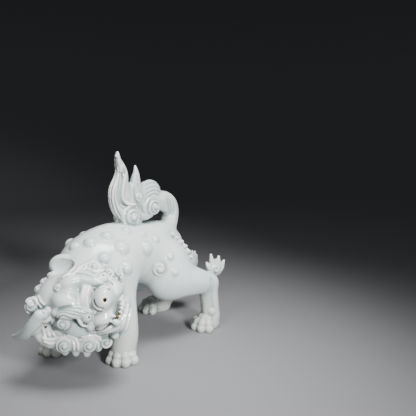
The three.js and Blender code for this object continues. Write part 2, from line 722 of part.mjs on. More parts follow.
function bosses(clay) {
  const found = [];
  const height = (y) => {
    const after = SPINE.findIndex(([station]) => station <= y);
    const [[y0, z0], [y1, z1]] = [SPINE[after - 1], SPINE[after]];
    return THREE.MathUtils.mapLinear(y, y0, y1, z0, z1);
  };
  const outward = (degrees) => {
    const t = THREE.MathUtils.degToRad(degrees);
    return [Math.sin(t), 0, Math.cos(t)];
  };
  for (const side of [1, -1]) {
    for (const [y, angle, radius] of BOSSES) {
      if (side < 0 && angle < 10) continue;
      const station = side > 0 ? y : y + RIGHT_BOSS.back;
      const degrees = side > 0 ? angle : -(RIGHT_BOSS.drop + RIGHT_BOSS.squeeze * angle);
      const { p, facing } = clay.skin([0, station, height(clamp(station, ...SPINE_ENDS))], outward(degrees));
      found.push([blob(plus(p, facing, -BOSS_SUNK * radius), [radius, radius, radius]), 2.5]);
    }
    const { station, angle, radius } = WHORL;
    const whorl = clay.skin([0, station, height(station)], outward(angle * side));
    const spiral = { depth: 1.8, hand: side };
    found.push([curl(plus(whorl.p, whorl.facing, -1.5), whorl.facing, radius, 6, spiral), 1.2]);
    // small locks down the back of the thigh
    FRINGE.lifts.forEach((lift, k) => {
      const [x, y, z] = FRINGE.from;
      const level = THREE.MathUtils.degToRad(lift);
      const out = plus([0, 0, Math.sin(level)], heading(180 - FRINGE.turn), Math.cos(level));
      const { p, facing } = clay.skin([x * side, y, z], [out[0] * side, out[1], out[2]]);
      const radius = FRINGE.radius * (k % 2 ? 0.8 : 1);
      found.push([curl(plus(p, facing, -0.8), facing, radius, 3, { turns: 1.2, depth: 1, hand: -side }), 0.8]);
    });
  }
  for (const [shape, blend] of found) clay.add(shape, blend);
}

function tail(clay) {
  const side = [1, 0, 0];
  clay.add(limb(STEM, 18), 4);
  for (const web of WEBS) clay.add(limb(web, 8), 4);
  const hub = [0, FAN_SPIRAL.y + 1, FAN_SPIRAL.z - 1];
  clay.add(ringed(blob(FAN.centre, FAN.radii), hub, FAN.rings, side, 1.3), 3);
  for (const s of [1, -1]) {
    const { y, z, radius } = FAN_SPIRAL;
    const groove = { turns: 2, depth: 2.4, start: [0, -1, 0], hand: s };
    clay.add(curl([s * 2.5, y, z], [s, 0, 0], radius, 9.5, groove), 1.2);
  }
  clay.add(lock(LOBE, side, { count: 26 }), 1.2);
  clay.add(lock(RIM, side, { count: 26 }), 0.8);
  // two raised lines along each face of the rim
  for (const s of [1, -1]) {
    for (const lift of [0.25, 0.62]) {
      const line = RIM.slice(2, -1).map(([, y, z, wide, thick]) => {
        const outer = y - wide * (0.35 + 0.6 * lift);
        return [s * thick * (1 - lift) * 0.95, outer, z - (z < 150 ? 3.2 : 0), 0.11 * (wide + thick)];
      });
      clay.add(limb(line, 22), 0.8);
    }
    const { y, z, radius } = BACK_SPIRAL;
    const groove = { turns: 1.8, depth: 2.2, start: [0, 1, 0], hand: -s };
    clay.add(curl([s * 2.5, y, z], [s, 0, 0], radius, 9, groove), 1);
  }
  clay.add(lock(SMALL_FLAME, side, { ridges: 3, depth: 0.9, count: 26 }), 1.5);
  const [x, y, z] = TAIL_BEAD;
  for (const s of [1, -1]) clay.add(blob([s * x, y, z], [3.5, 4.5, 4.5]), 0.6);
}

function skull(clay) {
  const lump = (place, radii, blend) => clay.add(blob(head(place), radii, HEAD_AXES), blend);
  lump([0, -6, 5], [35, 31, 37], 8);
  lump([0, 7, -15], [30, 24, 24], 8);
  for (const s of [-1, 1]) {
    lump([s * 24, 6, -11], [15, 18, 21], 8);
    lump([s * 9, 20, 8], [12, 12.5, 16], 6);
  }
  clay.cut(blob(head([3, 37, 2.5]), [6.5, 8, 6], HEAD_AXES), 7);
  lump([0.7, 24, 24], [3, 3, 3], 1.5);
}

// Muzzle with its lip pads, nose and the wrinkles above it
function muzzle(clay) {
  const lump = (place, radii, blend) => clay.add(blob(head(place), radii, HEAD_AXES), blend);
  const groove = (rows, count, blend) => clay.cut(limb(rows.map(head), count), blend);
  lump([0, 22, -25], [22, 17, 13], 6);
  lump([-15, 27, -28], [13, 10.5, 10.5], 5);
  lump([15, 24, -28], [11, 10.5, 10.5], 5);
  lump([0, 38, -21], [13, 12, 10], 3.5);
  for (const s of [-1, 1]) {
    const upper = [[s * 5.2, 34, -11.5, 0.8], [s * 9, 35, -14.5, 1.3], [s * 12.5, 36.5, -18.5, 1.3]];
    groove([...upper, [s * 12.5, 38, -23, 0.8]], 10, 1);
    const lower = [[s * 5.8, 43, -13.5, 0.9], [s * 9, 42, -16, 1.3], [s * 10.8, 41.8, -19.5, 1.3]];
    groove([...lower, [s * 11, 43, -23.5, 0.9]], 10, 1);
  }
  groove([[-4.6, 56, -23.5, 1.5], [-4.2, 43.5, -22.5, 1.3]], 2, 0.5);
  groove([[7.4, 56, -23.5, 1], [7.2, 45, -23.5, 0.9]], 2, 0.4);
  for (const [b, c] of [[31, -1.6], [32.8, -6]]) {
    const middle = [[-3, b + 0.4, c - 0.5, 2.1], [4, b + 0.4, c + 0.6, 2.1]];
    const fold = [[-9.5, b - 2.5, c - 4, 1.2], ...middle, [10.5, b - 1.5, c + 0.5, 1.2]];
    clay.add(limb(fold.map(head), 10), 1.6);
  }
}

// Eyes with lids under fluted brows that end in a curl
function eyes(clay) {
  for (const [s, eye] of [[-1, RIGHT_EYE], [1, LEFT_EYE]]) {
    const [left, forward, crown] = eye.ball;
    clay.cut(blob(head([left + s * 2, forward + 8, crown + 1]), [8, 7, 7], HEAD_AXES), 4);
    clay.add(blob(head(eye.ball), [eye.size, eye.size, eye.size], HEAD_AXES), 0.6);
    clay.cut(limb(eye.pupil.map(head), 2), 0.4);
    clay.add(limb(eye.lid.map(head), 10), 1);
    clay.add(blob(head([s * 25.5, 25, -19]), [5, 4.5, 4], HEAD_AXES), 2);
    clay.add(lock(eye.brow.map(head), FORWARD, { ridges: 5, depth: 1.1, count: 24 }), 2);
    clay.add(curl(head(eye.end), headWay([s * 0.55, 0.83, 0]), 6.5, 4.5, { start: CROWN, hand: s }), 1);
  }
}

// Lower jaw, the mouth open on the right side only, teeth and beard
function jaw(clay) {
  clay.add(blob(head([-4, 12, -40]), [20, 17, 9.5], HEAD_AXES), 6);
  const lip = [
    [-27, 20, -29, 3, 3], [-24.5, 26, -36, 3.4, 3.4], [-19.5, 28.5, -43, 3.4, 3.2], [-10, 30.5, -44.8, 3.2, 3],
    [0, 31, -44.3, 3.2, 3], [6, 29.5, -43.2, 2.8, 2.8], [10, 25, -41.5, 2.2, 2.2],
  ];
  clay.add(lock(lip.map(head), CROWN, { count: 16 }), 3);
  const beard = [[7, 22, -46, 3, 3], [-4, 22, -49.5, 4.5, 4], [-15, 19, -51, 4.5, 4], [-23, 14, -49, 3, 3]];
  clay.add(lock(beard.map(head), headWay([0, 0.6, -0.8]), { ridges: 3, depth: 1.2, count: 14 }), 4);
  const slot = [
    [-27, 21, -23, 5, 1], [-23.5, 26, -29.6, 6, 1.2], [-18.5, 30, -35.6, 7, 1.6], [-12, 32.5, -39, 7, 2.3],
    [-5, 33.5, -39.2, 7, 2.4], [1, 34, -37.8, 6.5, 2.2], [5, 35, -36.5, 5, 1.2],
  ];
  clay.cut(lock(slot.map(head), CROWN, { count: 18 }), 0.8);
  for (const tooth of [[3.3, 34.5, -40.6], [-1.6, 34.8, -41], [-6.4, 34.3, -41.2], [-11, 33, -41]]) {
    clay.add(blob(head(tooth), [2.2, 2.2, 2.8], HEAD_AXES), 0.4);
  }
  const fangs = [
    [[-16.5, 30, -43, 3], [-17.6, 34.2, -40, 3.4], [-18, 34.5, -36, 1.4]],
    [[-12.5, 34, -34, 2.4], [-13, 35.5, -38.6, 0.9]],
  ];
  for (const fang of fangs) clay.add(limb(fang.map(head), 6), 0.5);
  clay.add(blob(head([-26, 20, -44]), [4, 4, 4], HEAD_AXES), 1);
}

function ears(clay) {
  // the right one sweeps back to a point like a horn
  clay.add(lock(RIGHT_EAR.map(head), headWay([-0.52, 0.83, 0.1])), 1);
  // the left one is a round shallow cup, open to the front
  const open = unit([0.6345, -0.7562, 0.1599]);
  const across = unit([0.766, 0.643, 0]);
  const rise = cross(open, across);
  const axes = [across, rise, open];
  const cup = plus(plus(plus(head([36.5, 0, 27.5]), across, 1.5), rise, -2.4), open, 4);
  clay.add(blob(cup, [16, 12.5, 7], axes), 1.5);
  clay.cut(blob(plus(plus(cup, open, 9.5), rise, -0.3), [14.6, 11.3, 5.4], axes), 1.2);
}

function mane(clay) {
  clay.add(limb(MANE.map(head), 40), 4);
  clay.add(limb(JOWL.map(head), 10), 2);
  for (const [left, forward, crown, radius, facing] of CURLS) {
    const groove = { turns: radius > 8.2 ? 2.4 : 1.6, depth: 1.5, start: CROWN, hand: left < 0 ? 1 : -1 };
    clay.add(curl(head([left, forward, crown]), headWay(facing), radius, radius * 0.62, groove), 0.8);
  }
  for (const [left, forward, crown, radius] of SCALLOPS) {
    clay.add(blob(head([left, forward, crown]), [radius, radius, radius * 0.9], HEAD_AXES), 1.5);
  }
  const strands = [[-29, 6, 24, 5, 3.5], [-36, 4, 20, 5.5, 4], [-42, 0, 17, 4, 3]];
  clay.add(lock(strands.map(head), headWay([-0.3, 0.9, 0]), { ridges: 3, depth: 1.4, count: 8 }), 1);
  // a collar of curls on the neck behind the head
  for (let k = 0, degrees = COLLAR.from; degrees <= COLLAR.to; k++, degrees += COLLAR.every) {
    const t = THREE.MathUtils.degToRad(degrees);
    const [a, c] = [Math.cos(t), Math.sin(t)];
    const groove = { depth: 1.5, start: FORWARD, hand: k % 2 ? 1 : -1 };
    const place = head([COLLAR.radius * a, COLLAR.behind, COLLAR.radius * c - 2]);
    clay.add(curl(place, headWay([a, 0.1, c]), COLLAR.curl, 7, groove), 2);
  }
}

// A small fan of four pointed leaves round a curl
function tuft(clay, { base, splay }) {
  const back = heading(180 - splay);
  const side = cross(back, [0, 0, 1]);
  const at = (out, up) => plus(plus(base, back, out), [0, 0, 1], up);
  clay.add(blob(at(1, 12), [12, 12, 4.5], [back, [0, 0, 1], side]), 1.5);
  for (const [out, up] of LEAVES) {
    const leaf = [[...at(out * 0.2, 6), 4, 4], [...at(out * 0.65, up * 0.55), 5, 4.2], [...at(out, up), 1.6, 1.6]];
    clay.add(lock(leaf, side, { count: 8 }), 0.8);
  }
  const outer = side.map((v) => v * Math.sign(splay));
  clay.add(curl(plus(at(0, 9), outer, 2.5), outer, 6, 4, { turns: 1.4, depth: 1.5 }), 0.8);
}

function lion() {
  const clay = new Clay(LOW, HIGH, GRID);
  trunk(clay);
  hindLeg(clay, HIND_LEFT);
  hindLeg(clay, HIND_RIGHT);
  frontLeg(clay, FRONT_LEFT);
  frontLeg(clay, FRONT_RIGHT);
  bosses(clay);
  tail(clay);
  skull(clay);
  muzzle(clay);
  eyes(clay);
  jaw(clay);
  ears(clay);
  mane(clay);
  for (const each of TUFTS) tuft(clay, each);
  clay.level();
  const { places, triangles } = thin(largestShell(skinOf(clay)), FACES);
  const geometry = new THREE.BufferGeometry();
  geometry.setAttribute("position", new THREE.Float32BufferAttribute(triangles.flat().flatMap((v) => places[v]), 3));
  geometry.translate(-PLAN_CENTRE[0], -PLAN_CENTRE[1], 0);
  geometry.computeVertexNormals();
  const glaze = new THREE.MeshStandardMaterial({ color: "#d9dfdc", roughness: 0.12, metalness: 0 });
  const mesh = new THREE.Mesh(geometry, glaze);
  mesh.name = "lion";
  return mesh;
}

const figure = new THREE.Group();
figure.name = "guardian_lion";
figure.add(lion());

export default figure;
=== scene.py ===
import math

import bpy
import numpy as np
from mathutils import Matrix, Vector


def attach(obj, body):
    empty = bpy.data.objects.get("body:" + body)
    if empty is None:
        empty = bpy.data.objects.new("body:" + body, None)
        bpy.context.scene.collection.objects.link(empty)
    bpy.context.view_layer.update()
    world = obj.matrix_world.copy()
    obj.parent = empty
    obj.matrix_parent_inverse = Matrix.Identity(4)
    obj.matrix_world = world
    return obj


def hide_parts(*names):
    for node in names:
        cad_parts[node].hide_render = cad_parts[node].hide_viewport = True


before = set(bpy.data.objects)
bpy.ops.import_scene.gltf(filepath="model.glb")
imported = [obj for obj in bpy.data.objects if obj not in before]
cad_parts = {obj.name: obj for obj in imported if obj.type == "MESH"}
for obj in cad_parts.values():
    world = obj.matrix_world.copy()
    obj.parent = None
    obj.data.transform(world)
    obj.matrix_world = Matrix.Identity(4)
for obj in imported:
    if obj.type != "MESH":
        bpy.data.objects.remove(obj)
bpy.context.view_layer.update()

# A glazed porcelain guardian lion on all fours, its head lowered and turned. It is modelled as clay: rounded
# masses that melt into each other, in a field of distances on a grid. Lengths are millimetres until the mesh
# is made. X is the lion's left, Y its rear, Z up. A shape's melt is the length over which it runs into what
# is there already.

MM = 0.001

# The grid of the field, and the number of triangles that the skin is thinned to
GRID = 0.8
LOW = (-85, -165, -3)
HIGH = (95, 165, 235)
TRIANGLES = 190000

# The middle of the figure's plan, which becomes the origin
PLAN_CENTRE = (7.4, 5.5)

# Trunk, neck and the rise to the root of the tail: middle and radius
TRUNK = ((0, 50.5, 98, 31.5), (0, 37, 100, 36.5), (0, 10, 107, 37), (0, -20, 109, 39), (0, -46, 101, 40),
         (6, -62, 91, 34))
NECK = ((4, -50, 98, 36), (10, -68, 88, 33), (17, -80, 82, 30))
RUMP = ((0, 26, 118, 21), (0, 42, 120.5, 21), (0, 56, 118, 20), (0, 66, 111, 19.5))
# The body's limbs: rows, steps along the curve and melt
BODY = ((TRUNK, 24, 4), (NECK, 8, 12), (RUMP, 10, 8))

# Legs: joints from the body down, the middle of the paw, and its turn from straight ahead to the left
HIND_LEFT = dict(haunch=(26, 42, 82), stifle=(42, 70, 66), hock=(46, 94, 58), heel=(50, 95, 16),
                 paw=(48, 87), points=0)
HIND_RIGHT = dict(haunch=(-26, 42, 82), stifle=(-36, 88, 60), hock=(-24, 120, 47), heel=(-40, 96, 12),
                  paw=(-48, 85), points=-15)
FRONT_LEFT = dict(shoulder=(25, -38, 96), elbow=(33.5, -37.5, 60), wrist=(35, -36, 30), paw=(35, -39),
                  points=40)
FRONT_RIGHT = dict(shoulder=(-25, -42, 94), elbow=(-34, -52, 62), wrist=(-38, -64, 30), paw=(-42, -74),
                   points=0)
# Radii of thigh, stifle, hock, shank and heel, and of shoulder, elbow, wrist and paw
HIND_RADII = (25, 18, 13.3, 12, 12.3)
FRONT_RADII = (20, 16, 15, 14)
# The rounded masses of haunch and shoulder
HAUNCH = (25, 33, 36)
HAUNCH_MELT = 12
SHOULDER = (19, 25, 32)
SHOULDER_MELT = 14
LEG_MELT = 8
SHANK_MELT = 4
# The thigh's middle, from the haunch's: times so much out, then back and up
THIGH = (1.2, 4, -9)
# The heel's pad: how far behind the heel and how high, and radii
HEEL_PAD_AT = (-1, 6)
HEEL_PAD = (11.5, 11.5, 9.5)
# Tendon and outer groove from hock, shank and heel, and the ankle bone from the heel: out, back, up, radius
TENDON = ((0, -9, -8, 2.5), (0, -9, 0, 2.5), (0, -10, 6, 2.5))
GROOVE = ((8, -7, 6, 3), (8, -7, 0, 3), (8, -7, 10, 3))
GROOVE_DEPTH = 1.2
ANKLE = (7.2, -6.3, 7, 4.5)
ANKLE_MELT = 1.5
# Melt of tendon, groove and heel's pad
SOFT = 3
# The paw's pad: radii, height of its middle and how far behind the paw's place
PAD_RADII = (13.5, 13.5, 13)
PAD_HEIGHT = 7
PAD_BACK = 4
PAD_MELT = 5
# Toes: which way each points in steps of the spread, in degrees, its reach and its radius
TOES = (-1.5, -0.5, 0.5, 1.5)
TOE_SPREAD = 38
TOE_REACH = 13.5
TOE_RADIUS = 5.7
# The line of a toe: how far out along its reach, and how high
TOE_BEND = ((0.3, 12.3), (0.85, 11.3), (1, 7), (1, 3))
# Knuckles of a toe, given the same way, and their size against the toe's
KNUCKLES = ((0.35, 14), (0.85, 9.6), (1.08, 4))
KNUCKLE_SIZE = 1.04
# A toe is thinner by this share between its knuckles
TOE_WAIST = 0.76
# A claw: how far out past the toe's tip, how high, and radius
CLAW = ((-1.3, 8, 1.2), (-0.1, 4.5, 1.8), (-0.5, 0.5, 1))
# Melts of the toes, and of knuckles and claws
TOE_MELT = 0.4
CRISP = 0.5

# Bosses on the left flank: station along Y, degrees down from the spine, radius
BOSSES = ((-74, 3, 5.5), (-63, 19, 6.6), (-43, 26, 6.7), (-18, 33, 5.7), (2, 42, 4.8), (19, 53, 4.8),
          (-60, 50, 6.4), (-37, 55, 8.2), (-1, 70, 8), (-39, 84, 6.8), (29, 84, 4.8), (30, 106, 4.2))
# A boss in shares of its radius: how deep it lies in the skin, and how wide the ball is
BOSS_SUNK = 0.6
BOSS_SPREAD = 1.15
BOSS_MELT = 1.2
# Bosses nearer to the spine than this have no pair. On the right flank they lie lower and further back.
SPINE_ANGLE = 10
RIGHT_BOSS_BACK = 4
RIGHT_BOSS_DROP = 25
RIGHT_BOSS_SQUEEZE = 0.8
# The spine's ends along Y, past which it is taken as level
SPINE_ENDS = (-61, 52)
# The thigh's whorl
WHORL_STATION = 14
WHORL_ANGLE = 107
WHORL_SUNK = 1.5
WHORL = dict(radius=9, height=6, depth=1.8)
# The fringe of locks down the rump: where it is seen from, degrees up to each, and the row's turn outwards
FRINGE_FROM = (12, 36, 92)
FRINGE_LIFTS = (60, 49, 38, 27, 16, 5)
FRINGE_TURN = 38
FRINGE_RADIUS = 5.4
FRINGE_SMALL = 0.8
FRINGE_PROUD = 0.4
FRINGE = dict(height=4.2, turns=1.2, depth=1.1)

# Lumps of the skull on the head: place, radii and melt. The second group is on both sides.
SKULL = (((0, -6, 5), (35, 31, 37), 8), ((0, 7, -15), (30, 24, 24), 8))
TEMPLES = (((24, 6, -11), (15, 18, 21), 8), ((9, 20, 8), (12, 12.5, 16), 6))
# The dent between the brows, and the small curl high on the forehead
DENT = ((4, 36, 3), (7, 8.5, 6.5), 6)
FOREHEAD_CURL = ((2.5, 23.5, 23), (0, 0.8, 0.6), dict(radius=4, height=2.6, turns=1.3, depth=1))

# Muzzle: the snout, a lip pad at each side, and the nose
MUZZLE = (((0, 22, -25), (22, 17, 13), 6), ((-15, 27, -28), (13, 10.5, 10.5), 5),
          ((15, 24, -28), (11, 10.5, 10.5), 5), ((0, 38, -21), (13, 12, 10), 3.5))
# Grooves behind the nose, round its wings and along the lip, on both sides: place, radius, and melt
NOSE_GROOVES = (
    (((5.2, 34.4, -11.5, 0.9), (9, 35.2, -14.5, 1.6), (12.5, 36.5, -18.5, 1.6), (12.5, 38, -23.5, 0.9)),
     0.8),
    (((5.8, 43.4, -13.5, 1), (9, 42.2, -16, 1.6), (10.8, 42, -19.5, 1.6), (11, 43, -24, 1)), 0.8),
    (((11, 34, -30, 0.6), (17, 33, -26, 1), (20, 31, -21, 0.6)), 2),
)
# Nostrils: places and radii, melt and steps
NOSTRILS = (
    (((-4.6, 56, -23.5, 2.1), (-4.2, 44.5, -22.5, 1.8)), 0.5, 2),
    (((7.8, 50, -21.5, 0.7), (7.2, 46.6, -23.5, 0.9), (6.8, 49, -25.5, 0.7)), 0.4, 10),
)
# Folds over the nose: forward and crown of each, and the line that both follow
FOLDS = ((30.6, -1.6), (32.2, -6))
FOLD_LINE = ((-9.5, -2.5, -4, 1), (-3, 0.2, -0.5, 1.9), (4, 0.2, 0.6, 1.9), (10.5, -1.5, 0.5, 1))
FOLD_MELT = 3.5

# Each eye: its ball, the way into its pupil, its lid, the brow over it and the place of the brow's curl
RIGHT_EYE = dict(
    ball=(-18.6, 28.6, -12.2), size=6.3, pupil=((-20.2, 40, -14.6, 1.1), (-20, 33.4, -14.4, 0.9)),
    lid=((-20.5, 32, -3.8, 0.9), (-24, 29.8, -5.8, 1.4), (-27.3, 27.4, -11, 1.4),
         (-26.8, 27, -15.5, 0.9)),
    brow=((-14.3, 33.8, -15.5, 2.4, 3), (-15.8, 33, -9, 4.2, 3.6), (-18.8, 30.3, 0, 6, 4.2),
          (-20.5, 25.8, 9, 6.6, 4.2), (-20.5, 20.5, 17.5, 4.5, 3)),
    end=(-29.5, 21, 7))
LEFT_EYE = dict(
    ball=(20.5, 28, -14.5), size=7, pupil=((24.5, 40, -15, 1.1), (24, 33, -14.5, 0.9)),
    lid=((15, 33.5, -7, 1.1), (20.5, 31, -6.2, 1.5), (25.5, 28.5, -9.5, 1.5), (27.5, 26.5, -16, 1.1)),
    brow=((14.5, 33, -15, 3, 3.5), (16, 31.5, -8, 5.5, 4), (18, 28, 2, 7.5, 4.2), (19, 23.5, 12, 7, 4),
          (17, 20, 19, 3.5, 2.5)),
    end=(29.5, 17, 7))
# The hollow round the ball, the swelling under it, and the brow's curl
SOCKET_BEYOND = (2, 8, 1)
SOCKET_RADII = (8, 7, 7)
SOCKET_MELT = 4
EYE_BAG = ((25.5, 25, -19), (5, 4.5, 4), 2)
BALL_MELT = 0.6
PUPIL_MELT = 0.4
LID_MELT = 0.9
BROW_MELT = 2
BROW_CURL = dict(radius=6.5, height=4.5, melt=1)
BROW_CURL_FACING = (0.55, 0.83, 0)
# Fine grooves along the brows
FLUTE_DEPTH = 0.9
BROW_FLUTES = (
    ((-17.5, 26, 14.3, 0.6), (-15, 30, 8.5, 0.9), (-14, 34, -3.7, 0.9), (-14.7, 36, -11.7, 0.6)),
    ((-19.9, 24.5, 15.3, 0.6), (-17, 29.3, 8.3, 0.9), (-16.3, 33.5, -3.4, 0.9), (-16.8, 35.5, -12.4, 0.6)),
    ((-22.1, 23.5, 15.2, 0.6), (-19.4, 28.5, 9.1, 0.9), (-19.1, 32, -0.4, 0.9), (-18.1, 35, -11, 0.6)),
    ((-24.3, 22, 15.1, 0.6), (-21.8, 27, 9.8, 0.9), (-21.3, 30.5, 1.9, 0.9), (-20, 33, -7.3, 0.6)),
    ((-26.2, 20.5, 14.4, 0.6), (-23.6, 26, 9.8, 0.9), (-22.8, 28.5, 3.8, 0.9), (-22.2, 30, -1.6, 0.6)),
    ((19, 27.5, 12, 0.7), (20, 30, 3, 1), (18, 32.4, -6, 0.7)),
)

# Lower jaw: lumps, then lip, beard and the slot of the mouth with half width and half thickness
JAW = (((-4, 12, -40), (20, 17, 9.5), 6), ((-2, 23, -45), (17, 8, 5.5), 4))
LIP = ((-27, 20, -29, 3, 3), (-24.5, 26, -36, 3.4, 3.4), (-19.5, 28.5, -43, 3.4, 3.2),
       (-10, 30.5, -44.8, 3.2, 3), (0, 31, -44.3, 3.2, 3), (6, 29.5, -43.2, 2.8, 2.8),
       (10, 25, -41.5, 2.2, 2.2))
BEARD = ((7, 22, -46, 3, 3), (-4, 22, -49.5, 4.5, 4), (-15, 19, -51, 4.5, 4), (-23, 14, -49, 3, 3))
BEARD_FACING = (0, 0.6, -0.8)
LIP_MELT = 3
BEARD_MELT = 4
SLOT_MELT = 0.8
TOOTH_MELT = 0.4
SLOT = ((-27, 21, -23, 5, 0.9), (-23.5, 26, -29.6, 6, 1), (-18.5, 30, -35.6, 7, 1.4),
        (-12, 32.5, -39, 7, 2.2), (-5, 33.5, -39.2, 7, 2.3), (1, 34, -37.8, 6, 2), (4.5, 35, -36.5, 4, 1))
TEETH = ((4, 34.8, -40.6), (0.3, 35, -41), (-3.6, 35, -41), (-7.5, 34.8, -41), (-11.4, 33.8, -41))
TOOTH_RADII = (2, 2.2, 2.7)
# Fangs, from below and from above: line, melt and steps
FANGS = ((((-16.5, 30, -43, 3), (-17.6, 34.2, -40, 3.4), (-18, 34.5, -36, 1.4)), 0.4, 6),
         (((-12.5, 34, -34, 2.4), (-13, 35.5, -38.6, 0.9)), 0.5, 4))
# The bead at the corner of the chin
CHIN_BEAD = ((-26, 20, -44), (4, 4, 4), 1)

# Right ear from base to tip: place, half the width and half the thickness
RIGHT_EAR = ((-25.5, 12, 30, 6, 5.5), (-34, 3.2, 33, 6.5, 5.2), (-39.5, -6.8, 36.3, 6.2, 4.8),
             (-41.7, -16.2, 40.5, 5.4, 4.3), (-42.5, -24.8, 45, 4, 3.4), (-41.3, -32, 49.6, 2, 2))
RIGHT_EAR_FACING = (-0.52, 0.83, 0.1)
RIGHT_EAR_MELT = 1
# Left ear, a shallow cup: the ways it opens and lies across, and its place. Then the cup from there and the
# dish from the cup: move across, up and open, radii and melt.
CUP_WAY = (0.6345, -0.7562, 0.1599)
CUP_ACROSS = (0.766, 0.643, 0)
CUP_PLACE = (36.5, 0, 27.5)
CUP = ((1.5, -2.4, 4), (16, 12.5, 7), 1.5)
DISH = ((0, -0.3, 9.5), (14.4, 11.1, 7), 0.8)

# Tail: stem, fan, flames and spirals, all in the plane x = 0
STEM = ((0, 55, 114, 14), (0, 64, 126, 12.3), (0, 70.5, 137, 11.2), (0, 74, 149, 10.3), (0, 71.5, 159, 10.5),
        (0, 65, 166, 10), (0, 55, 169, 9.5), (0, 46, 168, 8))
FAN_CENTRE = (0, 37.5, 175.5)
FAN_RADII = (8.5, 18, 18)
# Round grooves on the fan: their middle, radii and depth
FAN_RINGS_AT = (0, 38, 160)
FAN_RINGS = (16, 20.5, 25, 29.5)
FAN_RING_DEPTH = 1.3
TAIL_MELT = 4
FAN_MELT = 3
# Spirals on the left face, of the fan and of the flame: place, which way each winds, and its shape
SPIRALS = (
    ((3, 37, 161), 1, dict(radius=13, height=9.5, melt=1.2, turns=3.2, depth=1.8, start=(0, -1, 0))),
    ((5.5, 0.8, 152.6), -1, dict(radius=14, height=9, melt=0.8, turns=2.8, depth=1.9, start=(0, 1, 0))),
)
# The bead between the flames, on the left face, and the ring round it
TAIL_BEAD_AT = (8, 14.5, 175)
TAIL_BEAD = 2.6
TAIL_BEAD_MELT = 0.4
TAIL_RING_AT = (7.5, 14.5, 175)
TAIL_RING = dict(radius=4, thick=1)
TAIL_RING_MELT = 0.8
# What joins the fan to the stem, and each flame to the next
WEBS = (((0, 46, 163, 7.5), (0, 56, 161.5, 8), (0, 66, 157, 8.5)),
        ((0, 26, 187, 4.3), (0, 23, 177, 6), (0, 22, 166, 6.5), (0, 27, 156.5, 7)),
        ((0, 5, 189, 4), (0, 6, 178, 5.5), (0, 8, 168, 6)))
# Each flame row gives the middle, half the width and half the thickness
LOBE = ((0, 50, 159.5, 4, 6), (0, 40, 154.5, 5, 7), (0, 29, 149.5, 5.5, 7.5), (0, 19, 151, 5.5, 8),
        (0, 13, 158, 6, 8), (0, 4, 165, 8, 8), (0, -4, 174, 9, 8), (0, -6, 184, 8.5, 7.5),
        (0, -4.5, 194, 7, 7), (0, -3, 204, 5.2, 6), (0, -5.5, 212, 4.4, 4.8), (0, -9, 220, 2.6, 3.4),
        (0, -9.8, 227, 1.5, 1.8))
RIM = ((0, 18, 145, 4, 6), (0, 9, 144, 5, 7), (0, -1, 147, 5.5, 8), (0, -8, 155, 6, 8),
       (0, -14, 165, 6.5, 8), (0, -17, 176, 6.5, 7.8), (0, -16, 187, 6, 7.3), (0, -11, 198, 4.8, 6.3),
       (0, -9, 207, 3.8, 5.3), (0, -11, 215, 3.2, 4.4), (0, -11.5, 222, 2.5, 3.4), (0, -10.2, 228, 1.5, 1.6))
SMALL_FLAME = ((0, 16, 168, 8, 7), (0, 14, 178, 8.5, 7), (0, 14, 187, 8, 6.3), (0, 15.5, 196, 6, 5),
               (0, 16.5, 204, 3.4, 3.2), (0, 15.5, 211, 1.4, 1.4))
# Flames and their melts
FLAMES = ((LOBE, 1.2), (RIM, 0.8), (SMALL_FLAME, 1.5))
FLAME_STEPS = 26

# Lines on both faces of the tail: y, z and radius
TAIL_THICK = 8
LOBE_EDGE = ((-5.5, 212, 0.9), (-4, 204.3, 1.2), (-6, 195.6, 1.4), (-8.4, 187, 1.5), (-10, 179.8, 1.5),
             (-9, 173, 1.5), (-3.8, 168.6, 1.4), (4.7, 167, 1.2), (10, 168, 0.8))
RIM_VALLEY = ((-7.2, 212, 1), (-7.2, 205.3, 1.8), (-9.2, 198.8, 2.8), (-12.2, 190.2, 3.8),
              (-14.5, 181.6, 4.4), (-13.8, 174.2, 4.4), (-9.2, 168, 4), (-3.5, 164.5, 2.4))
LOBE_CHANNEL = ((-6, 208, 2.5), (-4.5, 197, 5), (-7, 186, 7), (-7, 177, 7), (-1, 171.5, 4))
EDGE_HEIGHT = 1.8
# What is cut into a face: line, depth and melt
TAIL_CUTS = ((LOBE_CHANNEL, 0.9, 2), (RIM_VALLEY, 3.8, 1))
LINE_DEPTH = 0.7
LINE_MELT = 0.3
# Grooves along the rim, in degrees round from its edge
RIM_LINES = (12, 46)
RIM_LINE_RADIUS = 1
RIM_LINE_DEPTH = 1.4
RIM_LINE_STEPS = 22
# Fine lines on stem, flame and band
TAIL_LINES = (
    ((56, 175.2, 0.6), (58.8, 168, 0.9), (62, 158.3, 0.9), (64, 148, 0.6)),
    ((60, 174, 0.6), (63.4, 165, 0.9), (66, 154, 0.9), (66, 141, 0.6)),
    ((64.2, 172, 0.6), (68.5, 162.5, 0.9), (70.6, 151.1, 0.9), (68, 138, 0.6)),
    ((70.7, 168, 0.6), (75.5, 158, 0.9), (76, 147, 0.9), (71, 134, 0.6)),
    ((13.6, 202, 0.6), (11.4, 195, 0.9), (8.6, 188.7, 0.9), (7.6, 182.8, 0.9), (8, 176, 0.6)),
    ((15.6, 198, 0.6), (13, 191, 0.9), (10.3, 185, 0.9), (10, 180.5, 0.6)),
    ((17, 193, 0.6), (14.8, 188, 0.9), (12.8, 183.5, 0.6)),
    ((9.4, 168.5, 0.6), (14.5, 164.5, 0.9), (15, 158.2, 0.9), (17, 152.5, 0.9), (24, 147.5, 0.6)),
    ((14, 168, 0.6), (19, 162.5, 0.9), (19.6, 156.5, 0.9), (22, 151.5, 0.9), (29, 148.5, 0.6)),
)

# Tufts on the hocks: base, and degrees that they splay from straight back
TUFTS = (((48, 105, 64), 23), ((-18, 137.5, 52), -23))
